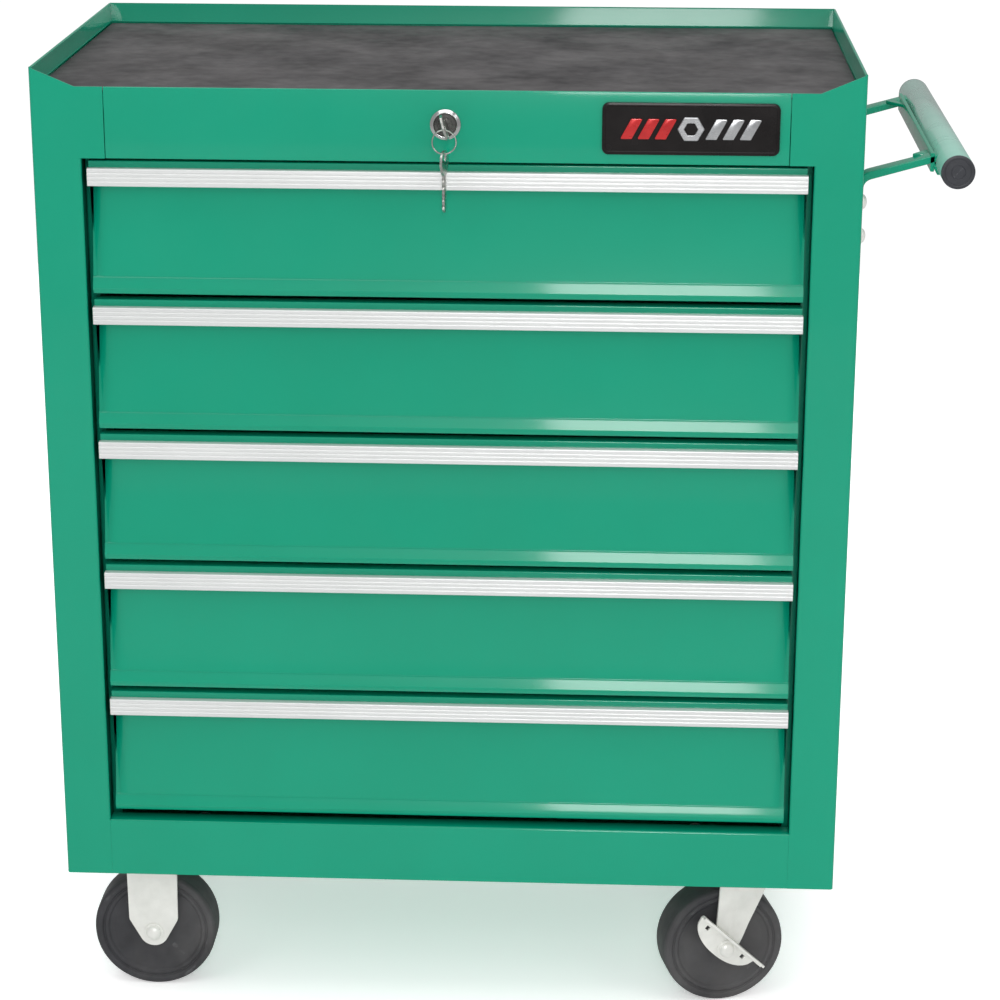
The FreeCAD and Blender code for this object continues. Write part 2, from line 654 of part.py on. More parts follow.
# A rod runs from the plug to the back, where its arm's pin lifts the lock bar.
cam_y = bar_y - d.cam_bar_gap - d.cam_t
pin_x = cosine(d.cam_rest_deg) * d.cam_arm
pin_z = -(sine(d.cam_rest_deg) * d.cam_arm)
lock_cam = Piece("lock_cam")
lock_cam.pad("XZ", [circle(0, 0, d.tail_r)], front + plug_end_y, cam_y - front - plug_end_y)
arm_half = d.cam_w / 2
arm_u, arm_v = cosine(d.cam_rest_deg), -sine(d.cam_rest_deg)
reach = d.cam_arm + d.cam_pin_r + d.cam_end
arm_outline = [
    (-(arm_v * arm_half) - arm_u * arm_half, arm_u * arm_half - arm_v * arm_half),
    (arm_v * arm_half - arm_u * arm_half, -(arm_u * arm_half) - arm_v * arm_half),
    (arm_u * reach + arm_v * arm_half, arm_v * reach - arm_u * arm_half),
    (arm_u * reach - arm_v * arm_half, arm_v * reach + arm_u * arm_half),
]
lock_cam.pad("XZ", [arm_outline], cam_y, d.cam_t)
lock_cam.pad("XZ", [circle(pin_x, pin_z, d.cam_pin_r)], cam_y + d.cam_t, d.cam_pin_len)
lock_cam.put(0, 0, lock_z)

# The lock bar: a strip with a slot for the cam's pin and a hook behind each drawer.
lock_bar = Piece("lock_bar")
bar_low = pull_top(DRAWERS) - d.hook_drop - d.hook_t - lock_z
bar_left, bar_right = d.bar_x - d.bar_w / 2, d.bar_x + d.bar_w / 2
lock_bar.pad("XZ", [rect(bar_left, bar_low, bar_right, d.bar_head)], bar_y, d.bar_t)
slot_half = d.cam_pin_r + d.slot_gap
slot = rect(bar_left + d.slot_wall, pin_z - slot_half, bar_right - d.slot_wall, pin_z + slot_half)
lock_bar.cut("XZ", [slot], bar_y - OVER, d.bar_t + 2 * OVER)
hook_start = front + tray_back_y + d.hook_gap
for number in range(1, DRAWERS + 1):
    hook_z = pull_top(number) - d.hook_drop - lock_z
    hook = rect(bar_left, hook_start, bar_right, bar_y)
    lock_bar.pad("XY", [hook], hook_z - d.hook_t, d.hook_t)
lock_bar.put(0, 0, lock_z)

badge = Piece("badge_plate")
badge_half = d.badge_w / 2
badge_z = fascia_z + d.badge_rise
badge.pad("XZ", [rect(-badge_half, -(d.badge_h / 2), badge_half, d.badge_h / 2)], -d.badge_t, d.badge_t)
badge.round(d.badge_round, lambda edge: along(edge, "y"))
badge.put(ear_x - d.badge_gap - badge_half, front, badge_z)


# ---------------------------------------------------------------- handle

# Two rising arms, their feet down the side sheet and a cross strip, one welded frame.
bracket = Piece("handle_bracket")
arm_end_z = arm_z + d.arm_rise
arm_profile = [
    (foot_x, arm_z), (grip_x, arm_end_z), (grip_x, arm_end_z + d.arm_t), (foot_x, foot_top),
]
foot_profile = rect(half_w, foot_top - d.foot_len, foot_x, foot_top)
cross_right = grip_x - d.grip_d / 2 - d.cross_gap
cross_low = arm_end_z - d.cross_h / 2 - d.arm_t / 2
cross = rect(cross_right - d.cross_t, cross_low, cross_right, cross_low + d.cross_h)
cross_len = post_places[1] - post_places[0] + d.arm_w
bracket.pad("XZ", [cross], front + post_places[0] - d.arm_w / 2, cross_len)
for arm_y in post_places:
    bracket.pad("XZ", [arm_profile], front + arm_y - d.arm_w / 2, d.arm_w)
    bracket.pad("XZ", [foot_profile], front + arm_y - d.arm_w / 2, d.arm_w)
bracket.cut("XZ", [circle(grip_x, grip_z, d.grip_d / 2)], front, d.cab_depth)
bracket.cut("YZ", foot_bolts(d.foot_bolt_r + d.bolt_play), half_w - OVER, d.foot_t + 2 * OVER)

grip_start = front + d.cap_t
grip_len = d.cab_depth - 2 * d.cap_t
grip_bore = d.grip_d / 2 - d.grip_wall
grip = Piece("handle_grip_tube")
grip.pad("XZ", [circle(0, 0, d.grip_d / 2), circle(0, 0, grip_bore)], grip_start, grip_len)
grip.put(grip_x, 0, grip_z)

caps = Piece("handle_end_caps", many=True)
cap_plug_r = grip_bore - d.run_gap
for cap_y, plug_y in (
        (front, grip_start), (back - d.cap_t, back - d.cap_t - d.cap_plug_len)):
    caps.pad("XZ", [circle(0, 0, d.grip_d / 2)], cap_y, d.cap_t)
    caps.pad("XZ", [circle(0, 0, cap_plug_r)], plug_y, d.cap_plug_len)
caps.put(grip_x, 0, grip_z)

grip_bolts = Piece("handle_bolt_screws", node=False, many=True)
screw_start = wall_x - d.foot_nut_t - d.bolt_end / 2
grip_bolts.pad("YZ", foot_bolts(d.foot_bolt_r), screw_start, foot_x - screw_start)
grip_bolts.pad("YZ", foot_bolts(d.foot_head_r), foot_x, d.foot_head_t)
grip_nuts = Piece("handle_bolt_nuts", node=False, many=True)
nut_loops = [hexagon(y, z, d.foot_nut_r) for _, y, z, _ in foot_bolts(d.foot_bolt_r)]
grip_nuts.pad("YZ", nut_loops + foot_bolts(d.foot_bolt_r), wall_x - d.foot_nut_t, d.foot_nut_t)
group("handle_bolts", grip_bolts, grip_nuts)


# ---------------------------------------------------------------- casters

bolt_places = [spot for x, y in caster_centres() for spot in plate_holes(x, y, d.plate_bolt_r)]
plate_under = caster_h - d.plate_t
plate_screws = Piece("caster_bolt_screws", node=False, many=True)
plate_screws.pad(
    "XY", bolt_places, plate_under, d.plate_t + d.pan_t + d.bolt_nut_t + d.bolt_end)
head_loops = [circle(u, v, d.bolt_head_r) for _, u, v, _ in bolt_places]
plate_screws.pad("XY", head_loops, plate_under - d.bolt_head_t, d.bolt_head_t)
plate_nuts = Piece("caster_bolt_nuts", node=False, many=True)
nut_loops = [hexagon(u, v, d.bolt_nut_r) for _, u, v, _ in bolt_places]
plate_nuts.pad("XY", nut_loops + bolt_places, pan_top, d.bolt_nut_t)
group("caster_bolts", plate_screws, plate_nuts)

axle_z = d.wheel_d / 2
hub_half = (d.wheel_w + d.hub_proud) / 2
leg_in = hub_half + d.hub_play / 2
leg_out = leg_in + d.fork_t
leg_half = d.leg_top_w / 2
axle_hole = d.axle_r + d.run_gap


def fork_legs(piece, axle_x, outline):
    """Two flat legs with round ends, drawn about a centre, down to the axle."""
    for start in (-leg_out, leg_in):
        piece.pad("XZ", [outline], start, d.fork_t)
        piece.pad("XZ", [circle(axle_x, axle_z, d.leg_end_r)], start, d.fork_t)
    piece.cut("XZ", [circle(axle_x, axle_z, axle_hole)], -leg_out - OVER, 2 * (leg_out + OVER))


def mount_plate(piece):
    """A caster's top plate with its four bolt holes and rounded corners."""
    piece.pad(
        "XY", [rect(-(d.plate_len / 2), -(d.plate_w / 2), d.plate_len / 2, d.plate_w / 2)],
        plate_under, d.plate_t)
    piece.round(d.plate_round, lambda edge: along(edge, "z"))
    piece.cut("XY", plate_holes(size(0), size(0), plate_hole_r), plate_under - OVER, d.plate_t + 2 * OVER)


def wheel(label, x, y, yaw=None):
    """A solid wheel turned about its axle: rounded tread, dished sides and a hub."""
    piece = Piece(label)
    half, web = d.wheel_w / 2, (d.wheel_w - d.web_dish) / 2
    tyre_r, rim_r = d.wheel_d / 2, d.wheel_d / 2 - d.tread_h
    shoulder = tyre_r - d.tread_round
    chamfer = d.tread_round * TREAD_CHAMFER
    side = [
        (hub_half, axle_hole), (hub_half, d.hub_r - d.web_step), (web, d.hub_r), (web, rim_r - d.web_step),
        (half, rim_r), (half, shoulder), (half - chamfer, tyre_r - chamfer), (half - d.tread_round, tyre_r),
    ]
    outline = side + [(-u, v) for u, v in reversed(side)]
    piece.spin("YZ", [outline], "H_Axis")
    piece.put(x, y, axle_z, yaw)


def axle(label, x, y, front_gap, yaw=None):
    """An axle bolt with a round head in front and a nut behind."""
    near = -leg_out - front_gap
    far = leg_out + d.axle_nut_t + d.axle_end
    bolt = Piece(f"{label}_bolt", node=False)
    profile = [
        (near - d.axle_head_t, 0), (near - d.axle_head_t, d.axle_head_r * HEAD_DOME),
        (near - d.axle_head_t * HEAD_DOME, d.axle_head_r), (near, d.axle_head_r), (near, d.axle_r),
        (far, d.axle_r), (far, 0),
    ]
    bolt.spin("YZ", [profile], "H_Axis")
    bolt.put(x, y, axle_z, yaw)
    nut = Piece(f"{label}_nut", node=False)
    nut.pad("XZ", [hexagon(0, 0, d.axle_nut_r), circle(0, 0, d.axle_r)], leg_out, d.axle_nut_t)
    nut.put(x, y, axle_z, yaw)
    group(label, bolt, nut)


def rigid_caster(name, x, y):
    """A fixed caster: plate and fork in one stamping, wheel and axle bolt."""
    fork = Piece(f"{name}_fork")
    mount_plate(fork)
    half_top, half_low, taper_z = d.rigid_top_w / 2, d.rigid_low_w / 2, axle_z + d.rigid_taper_h
    half_leg = [(half_top, plate_under), (half_low, taper_z), (d.leg_end_r, axle_z)]
    fork_legs(fork, size(0), half_leg + [(-x, z) for x, z in reversed(half_leg)])
    fork.put(x, y, 0)
    wheel(f"{name}_wheel", x, y)
    axle(f"{name}_axle", x, y, size(0))


def swivel_caster(name, x, y):
    """A swivelling caster: plate with race and king pin, fork, wheel, axle bolt and brake."""
    plate = Piece(f"{name}_plate")
    mount_plate(plate)
    crown_top = plate_under - d.crown_gap
    crown_low = crown_top - d.crown_h
    king_low = crown_low - d.king_gap
    plate.pad("XY", [circle(0, 0, d.race_r)], plate_under - d.race_h, d.race_h)
    plate.pad("XY", [circle(0, 0, d.king_r)], king_low, plate_under - d.race_h - king_low)
    plate.pad("XY", [circle(0, 0, d.king_head_r)], king_low - d.king_head_t, d.king_head_t)
    plate.put(x, y, 0)

    yaw = d.caster_yaw
    crown_in = d.race_r + d.race_gap
    fork = Piece(f"{name}_fork")
    fork.pad("XY", [rect(-leg_half, -leg_out, leg_half, leg_out)], crown_low, d.crown_t)
    fork.pad(
        "XY", [circle(0, 0, crown_in + d.crown_wall), circle(0, 0, crown_in)], crown_low, d.crown_h)
    fork.cut("XY", [circle(0, 0, d.king_r + d.run_gap)], crown_low - OVER, d.crown_t + 2 * OVER)
    leg_top = crown_low + d.crown_t
    slant = [
        (-leg_half, leg_top), (leg_half, leg_top), (d.leg_end_r - d.trail, axle_z),
        (-d.leg_end_r - d.trail, axle_z),
    ]
    fork_legs(fork, -d.trail, slant)
    fork.put(x, y, 0, yaw)

    # the wheel stands behind the swivel's axis by the trail, turned with the fork
    axle_x = x - cosine(yaw) * d.trail
    axle_y = y - sine(yaw) * d.trail
    wheel(f"{name}_wheel", axle_x, axle_y, yaw)
    brake_space = 2 * d.brake_gap + d.brake_t
    axle(f"{name}_axle", axle_x, axle_y, brake_space, yaw)

    # the brake: a slice of a disc, its straight edge folded outwards and run on into a tab
    brake = Piece(f"{name}_brake")
    brake_y = -(leg_out + d.brake_gap + d.brake_t)
    c, s = cosine(d.brake_tilt), sine(d.brake_tilt)

    def tilted(u, v):
        """A point drawn with the straight edge level, turned down to the right by the tilt."""
        u = size(u) - d.brake_shift
        return (u * c + v * s, v * c - u * s)

    disc_u, disc_v = tilted(0, d.brake_r - d.brake_low)
    brake.pad("XZ", [circle(disc_u, disc_v, d.brake_r)], brake_y, d.brake_t)
    above = rect(-(2 * d.brake_r), d.brake_chord, 2 * d.brake_r, 3 * d.brake_r)
    brake.cut("XZ", [[tilted(u, v) for u, v in above]], brake_y - OVER, d.brake_t + 2 * OVER)
    flange = rect(-d.brake_half, d.brake_chord - d.brake_t, d.brake_half + d.brake_tab, d.brake_chord)
    brake.pad(
        "XZ", [[tilted(u, v) for u, v in flange]],
        brake_y - d.brake_flange_h, d.brake_flange_h + d.brake_t)
    brake.cut("XZ", [circle(0, 0, axle_hole)], brake_y - OVER, d.brake_t + 2 * OVER)
    brake.cut(
        "XZ", [circle(0, 0, d.axle_head_r + d.brake_head_gap)], brake_y - d.brake_flange_h - OVER,
        d.brake_flange_h + OVER)
    half_hole = d.brake_hole / 2
    for side in (-1, 1):
        u, v = side * d.brake_hole_out, d.brake_hole_up
        window = [tilted(u + du * half_hole, v + dv * half_hole)
                  for du, dv in ((-1, -1), (1, -1), (1, 1), (-1, 1))]
        brake.cut("XZ", [window], brake_y - OVER, d.brake_t + 2 * OVER)
    brake.put(axle_x, axle_y, axle_z, yaw)


names = ("left_front", "left_rear", "right_front", "right_rear")
makers = (rigid_caster, rigid_caster, swivel_caster, swivel_caster)
for name, make, (x, y) in zip(names, makers, caster_centres()):
    make(f"{name}_caster", x, y)


# ---------------------------------------------------------------- check and write

doc.recompute()
faults = []
for item in doc.Objects:
    if "Invalid" in item.State or "Error" in item.State:
        faults.append(f"{item.Label}: {item.State}")
for item in pieces:
    if item.Shape.isNull() or not item.Shape.isValid():
        faults.append(f"{item.Label}: bad shape")
if faults:
    raise RuntimeError("\n".join(faults))

os.makedirs("parts", exist_ok=True)
for item in pieces:
    item.Shape.exportStep(f"parts/{item.Label}.step")
print(f"{len(pieces)} nodes written")
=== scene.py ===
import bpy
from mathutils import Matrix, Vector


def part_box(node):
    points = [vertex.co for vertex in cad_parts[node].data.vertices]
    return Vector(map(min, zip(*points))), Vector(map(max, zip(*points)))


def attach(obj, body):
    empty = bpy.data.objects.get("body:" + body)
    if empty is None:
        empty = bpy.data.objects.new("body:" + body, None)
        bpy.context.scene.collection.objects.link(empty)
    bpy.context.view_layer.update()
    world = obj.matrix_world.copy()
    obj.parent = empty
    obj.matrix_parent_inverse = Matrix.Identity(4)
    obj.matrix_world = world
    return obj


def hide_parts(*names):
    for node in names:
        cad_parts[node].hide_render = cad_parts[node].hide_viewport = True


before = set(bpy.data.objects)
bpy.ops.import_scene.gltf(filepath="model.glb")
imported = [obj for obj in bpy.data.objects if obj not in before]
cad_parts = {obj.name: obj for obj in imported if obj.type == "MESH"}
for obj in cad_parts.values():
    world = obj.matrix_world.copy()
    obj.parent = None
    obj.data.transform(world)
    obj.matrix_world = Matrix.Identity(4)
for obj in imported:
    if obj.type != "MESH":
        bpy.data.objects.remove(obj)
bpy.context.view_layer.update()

import logging
import math
from collections.abc import Sequence
from dataclasses import dataclass, field, replace
from enum import Enum

import bmesh
import bpy
import numpy as np

log = logging.getLogger("tool_chest")

MM = 0.001
DRAWERS = 5
Points = np.ndarray


# ------------------------------------------------------------------ surfaces


class Axis(Enum):
    """The direction that a section is carried along or turned about."""

    X = 0
    Y = 1
    Z = 2

    @property
    def others(self) -> list[int]:
        """The two directions across this one, in order."""
        return [n for n in range(3) if n != self.value]


@dataclass(frozen=True)
class Shell:
    """A surface: its points in millimetres, its four-sided faces, its flat lids and its finish."""

    points: Points
    quads: np.ndarray
    lids: tuple[np.ndarray, ...] = ()
    finish: int = 0

    def moved(self, x: float, y: float, z: float) -> "Shell":
        """The surface carried by x, y, z."""
        return replace(self, points=self.points + np.array([x, y, z]))

    def yawed(self, degrees: float) -> "Shell":
        """The surface turned about the upright axis through the origin.

        Args:
            degrees: How far it turns, anticlockwise seen from above.

        Returns:
            The turned surface.
        """
        c, s = math.cos(math.radians(degrees)), math.sin(math.radians(degrees))
        turn = np.array([[c, -s, 0], [s, c, 0], [0, 0, 1]])
        return replace(self, points=self.points @ turn.T)

    def tilted(self, degrees: float) -> "Shell":
        """The surface turned about the front-to-back axis, clockwise seen from the front.

        Args:
            degrees: How far it turns.

        Returns:
            The turned surface.
        """
        c, s = math.cos(math.radians(degrees)), math.sin(math.radians(degrees))
        turn = np.array([[c, 0, s], [0, 1, 0], [-s, 0, c]])
        return replace(self, points=self.points @ turn.T)

    def mirrored(self) -> "Shell":
        """The surface on the other side of the chest."""
        return replace(self, points=self.points * np.array([-1, 1, 1]))

    def finished(self, finish: int) -> "Shell":
        """The same surface with another of its piece's finishes."""
        return replace(self, finish=finish)


def grid(points: Points, wrap_rows: bool = False, wrap_cols: bool = False, lids: bool = False) -> Shell:
    """Joins a rows x columns x 3 array of points by four-sided faces.

    Args:
        points: The surface as a function of its row and its column.
        wrap_rows: Joins the last row to the first.
        wrap_cols: Joins the last column to the first.
        lids: Closes the first and the last row with a flat face.

    Returns:
        The surface.
    """
    rows, cols = points.shape[:2]
    row = np.arange(rows - (not wrap_rows))[:, None]
    col = np.arange(cols - (not wrap_cols))[None, :]
    after_row, after_col = (row + 1) % rows, (col + 1) % cols
    corners = [row * cols + col, row * cols + after_col, after_row * cols + after_col, after_row * cols + col]
    quads = np.stack(corners, axis=-1).reshape(-1, 4)
    ends = (np.arange(cols)[::-1], np.arange(cols) + (rows - 1) * cols) if lids else ()
    return Shell(points.reshape(-1, 3), quads, ends)


def unit(vectors: Points) -> Points:
    """Vectors scaled to a length of one."""
    return vectors / np.maximum(np.linalg.norm(vectors, axis=-1, keepdims=True), 1e-12)


def rounded(line: Sequence, radius: float | Sequence[float], steps: int = 5, closed: bool = True) -> Points:
    """Turns each corner of a line by an arc that touches both of its sides.

    The arc's points are the start and end spokes mixed by sin((1-t)a) and sin(ta) over sin(a), where a is
    the angle that the arc turns through.

    Args:
        line: The corners, two numbers each.
        radius: The arcs' radius, one for all or one for each corner.
        steps: How many points an arc has.
        closed: Whether the last corner joins the first.

    Returns:
        The rounded line's points.
    """
    corners = np.asarray(line, float)
    radius = np.broadcast_to(np.asarray(radius, float), len(corners))
    to_last, to_next = np.roll(corners, 1, 0) - corners, np.roll(corners, -1, 0) - corners
    room = 0.49 * np.minimum(np.linalg.norm(to_last, axis=1), np.linalg.norm(to_next, axis=1))
    to_last, to_next = unit(to_last), unit(to_next)
    half = np.arccos(np.clip((to_last * to_next).sum(1), -0.99999, 0.99999)) / 2
    cut = np.minimum(radius / np.tan(half), room)
    centre = corners + unit(to_last + to_next) * (cut / np.cos(half))[:, None]
    start, end = corners + to_last * cut[:, None] - centre, corners + to_next * cut[:, None] - centre
    turn = (math.pi - 2 * half)[:, None, None]
    t = np.linspace(0, 1, steps)[None, :, None]
    arcs = (np.sin((1 - t) * turn) * start[:, None] + np.sin(t * turn) * end[:, None]) / np.sin(turn)
    arcs = arcs + centre[:, None]
    if not closed:
        arcs[0], arcs[-1] = corners[0], corners[-1]
    path = arcs.reshape(-1, 2)
    keep = np.linalg.norm(path - np.roll(path, 1, 0), axis=1) > 1e-5
    keep[0] = keep[0] or not closed
    return path[keep]


def across(line: Points) -> Points:
    """Unit vectors to the left of an open line's direction of travel."""
    ahead = unit(np.gradient(line, axis=0))
    return np.stack([-ahead[:, 1], ahead[:, 0]], axis=1)


def folded(outer: Sequence, thick: float, radius: float, side: int = 1) -> Points:
    """The closed section of a folded sheet: its outer line with rounded bends, and the same line set in.

    Args:
        outer: The outer face's corners.
        thick: The sheet's thickness.
        radius: The bends' outer radius.
        side: 1 if the metal is to the left of the line's direction, -1 if it is to the right.

    Returns:
        The section's points.
    """
    path = rounded(outer, radius, closed=False)
    return np.concatenate([path, (path + side * thick * across(path))[::-1]])


def inset(outline: Points, by: float) -> Points:
    """A closed outline moved inwards at each corner along the bisector of its two sides.

    Args:
        outline: Its points, two numbers each.
        by: How far each side moves.

    Returns:
        The smaller outline, point for point.
    """
    ahead = unit(np.roll(outline, -1, 0) - outline)
    x, y = outline.T
    turn = 1 if (x * np.roll(y, -1) - y * np.roll(x, -1)).sum() > 0 else -1
    left = turn * np.stack([-ahead[:, 1], ahead[:, 0]], axis=1)
    before = np.roll(left, 1, 0)
    share = 1 / np.maximum(1 + (left * before).sum(1), 0.4)
    return outline + by * (left + before) * share[:, None]


def place(across_points: Points, along: Points, axis: Axis) -> Points:
    """Puts points that lie across an axis at their distances along it.

    Args:
        across_points: Pairs of distances in the two other directions.
        along: The points' distances along the axis.
        axis: The axis.

    Returns:
        The points in space.
    """
    shape = np.broadcast_shapes(across_points.shape[:-1], along.shape)
    points = np.empty((*shape, 3))
    points[..., axis.others] = across_points
    points[..., axis.value] = along
    return points


def bar(section: Points, axis: Axis, low: float, high: float) -> Shell:
    """A closed section carried straight along an axis from low to high."""
    along = np.array([low, high])[:, None]
    return grid(place(section[None], along, axis), wrap_cols=True, lids=True)


def slab(outline: Points, axis: Axis, low: float, high: float, edge: float = 0.4) -> Shell:
    """A plate with softened edges: its outline set in by a quarter round at each face.

    Args:
        outline: The plate's edge.
        axis: The direction across its two faces.
        low: Where its first face lies.
        high: Where its second face lies.
        edge: The quarter round's radius.

    Returns:
        The plate.
    """
    turn = np.radians(np.array([0, 45, 90]))
    by = edge * (1 - np.sin(turn))
    rise = edge * (1 - np.cos(turn))
    rows = np.stack([inset(outline, step) for step in np.concatenate([by, by[::-1]])])
    along = np.concatenate([low + rise, high - rise[::-1]])[:, None]
    return grid(place(rows, along, axis), wrap_cols=True, lids=True)


def lathe(profile: Sequence, axis: Axis, sides: int = 48, ring: bool = False) -> Shell:
    """Turns a profile of (along, radius) pairs all the way round an axis.

    Args:
        profile: The pairs, from one end to the other.
        axis: What it turns about.
        sides: How many steps make a full turn.
        ring: Whether the profile is a closed loop. Otherwise flat lids close its two ends.

    Returns:
        The turned surface.
    """
    along, radius = np.asarray(profile, float).T
    angle = np.linspace(0, 2 * math.pi, sides, endpoint=False)
    spokes = np.stack([np.cos(angle), np.sin(angle)], axis=1)
    points = place(radius[:, None, None] * spokes[None], along[:, None], axis)
    return grid(points, wrap_rows=ring, wrap_cols=True, lids=not ring)


def swept(path: Points, section: Points, up: tuple[float, float, float], closed: bool = False) -> Shell:
    """Carries a closed section along a path, kept upright by the cross product with a fixed direction.

    Args:
        path: The path's points.
        section: The section's points, two numbers each.
        up: The fixed direction.
        closed: Whether the path runs back into its start.

    Returns:
        The carried surface.
    """
    ahead = np.roll(path, -1, 0) - np.roll(path, 1, 0) if closed else np.gradient(path, axis=0)
    side = unit(np.cross(unit(ahead), np.array(up, float)))
    top = np.cross(side, unit(ahead))
    points = path[:, None] + section[None, :, :1] * side[:, None] + section[None, :, 1:] * top[:, None]
    return grid(points, wrap_rows=closed, wrap_cols=True, lids=not closed)


def round_section(radius: float, sides: int = 10) -> Points:
    """A circle's points about the origin."""
    angle = np.linspace(0, 2 * math.pi, sides, endpoint=False)
    return radius * np.stack([np.cos(angle), np.sin(angle)], axis=1)


def box_line(x0: float, y0: float, x1: float, y1: float, radius: float = 0.0, steps: int = 5) -> Points:
    """A rectangle's outline with rounded corners."""
    corners = [(x0, y0), (x1, y0), (x1, y1), (x0, y1)]
    return rounded(corners, radius, steps) if radius else np.array(corners, float)


def hexagon(radius: float) -> Points:
    """A nut's six corners, slightly rounded."""
    angle = np.radians(np.arange(6) * 60.0)
    return rounded(radius * np.stack([np.cos(angle), np.sin(angle)], axis=1), radius * 0.12, 3)


def dome(radius: float, height: float, base: float) -> list[tuple[float, float]]:
    """A low dome's profile: a quarter ellipse from its rim to just short of its crown."""
    angle = np.radians(np.linspace(0, 88, 8))
    return list(zip(base + height * np.sin(angle), radius * np.cos(angle)))


def span(node: str) -> tuple[Points, Points]:
    """A CAD node's lowest and highest corners in millimetres."""
    low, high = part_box(node)
    return np.array(low) / MM, np.array(high) / MM


# ------------------------------------------------------------------ finishes


class Net:
    """Places and links a node tree's nodes."""

    def __init__(self, tree: bpy.types.NodeTree) -> None:
        """Keeps the tree that nodes go into."""
        self.tree = tree

    def node(self, kind: str, links: dict | None = None, **settings: object) -> bpy.types.Node:
        """Adds a node.

        Args:
            kind: The node's type.
            links: Input names or numbers, each with a value or with another node's output.
            settings: The node's own properties.

        Returns:
            The node.
        """
        made = self.tree.nodes.new(kind)
        for name, value in settings.items():
            setattr(made, name, value)
        for name, value in (links or {}).items():
            if isinstance(value, bpy.types.NodeSocket):
                self.tree.links.new(value, made.inputs[name])
            else:
                made.inputs[name].default_value = value
        return made


class Group(Enum):
    """The effects that several materials share."""

    MOTTLE = "mottle"
    GRAIN = "grain"
    WEAR = "wear"
    DUST = "dust"


def start_group(
    kind: Group, inputs: dict[str, float | tuple], outputs: dict[str, str],
) -> tuple[Net, dict, dict]:
    """Opens a node group with named inputs and outputs.

    Args:
        kind: Which effect it is.
        inputs: Each input's name and value; a tuple makes a colour.
        outputs: Each output's name and socket type.

    Returns:
        The group's net, its input sockets by name and its output sockets by name.
    """
    tree = bpy.data.node_groups.new(kind.value, "ShaderNodeTree")
    for name, value in inputs.items():
        colour = isinstance(value, tuple)
        socket = tree.interface.new_socket(
            name, in_out="INPUT", socket_type="NodeSocketColor" if colour else "NodeSocketFloat")
        socket.default_value = value
    for name, socket_type in outputs.items():
        tree.interface.new_socket(name, in_out="OUTPUT", socket_type=socket_type)
    entry, leave = tree.nodes.new("NodeGroupInput"), tree.nodes.new("NodeGroupOutput")
    given = {socket.name: socket for socket in entry.outputs if socket.name}
    out = {socket.name: socket for socket in leave.inputs if socket.name}
    return Net(tree), given, out


def mottle_group() -> bpy.types.NodeTree:
    """Two sizes of soft patches mixed into one colour between Dark and Light.

    Returns:
        The group.
    """
    inputs = {"Scale": 20.0, "Low": 0.35, "High": 0.65, "Dark": (0, 0, 0, 1), "Light": (1, 1, 1, 1)}
    net, given, out = start_group(
        Group.MOTTLE, inputs, {"Color": "NodeSocketColor", "Mask": "NodeSocketFloat"})
    place_in = net.node("ShaderNodeTexCoord").outputs["Object"]
    fine_scale = net.node("ShaderNodeMath", {0: given["Scale"], 1: 4.7}, operation="MULTIPLY")
    broad = net.node("ShaderNodeTexNoise", {"Vector": place_in, "Scale": given["Scale"], "Detail": 5.0})
    fine = net.node("ShaderNodeTexNoise", {"Vector": place_in, "Scale": fine_scale.outputs[0], "Detail": 4.0})
    both = net.node("ShaderNodeMix", {"Factor": 0.35, "A": broad.outputs[0], "B": fine.outputs[0]})
    mask = net.node(
        "ShaderNodeMapRange",
        {"Value": both.outputs[0], "From Min": given["Low"], "From Max": given["High"]})
    colour = net.node(
        "ShaderNodeMix", {"Factor": mask.outputs[0], 6: given["Dark"], 7: given["Light"]}, data_type="RGBA")
    net.tree.links.new(colour.outputs[2], out["Color"])
    net.tree.links.new(mask.outputs[0], out["Mask"])
    return net.tree


def grain_group() -> bpy.types.NodeTree:
    """Fine noise, stretched along X by Stretch, for bumps and for uneven gloss.

    Returns:
        The group.
    """
    inputs = {"Scale": 600.0, "Stretch": 1.0, "Smooth": 0.3, "Rough": 0.4}
    net, given, out = start_group(
        Group.GRAIN, inputs, {"Height": "NodeSocketFloat", "Roughness": "NodeSocketFloat"})
    place_in = net.node("ShaderNodeTexCoord").outputs["Object"]
    squeeze = net.node("ShaderNodeMath", {0: 1.0, 1: given["Stretch"]}, operation="DIVIDE")
    along = net.node("ShaderNodeCombineXYZ", {0: squeeze.outputs[0], 1: 1.0, 2: 1.0})
    vector = net.node("ShaderNodeVectorMath", {0: place_in, 1: along.outputs[0]}, operation="MULTIPLY")
    noise = net.node(
        "ShaderNodeTexNoise", {"Vector": vector.outputs[0], "Scale": given["Scale"], "Detail": 3.0})
    slow_scale = net.node("ShaderNodeMath", {0: given["Scale"], 1: 0.06}, operation="MULTIPLY")
    slow = net.node(
        "ShaderNodeTexNoise", {"Vector": vector.outputs[0], "Scale": slow_scale.outputs[0], "Detail": 3.0})
    rough = net.node(
        "ShaderNodeMapRange",
        {"Value": slow.outputs[0], "From Min": 0.3, "From Max": 0.7, "To Min": given["Smooth"],
         "To Max": given["Rough"]})
    net.tree.links.new(noise.outputs[0], out["Height"])
    net.tree.links.new(rough.outputs[0], out["Roughness"])
    return net.tree


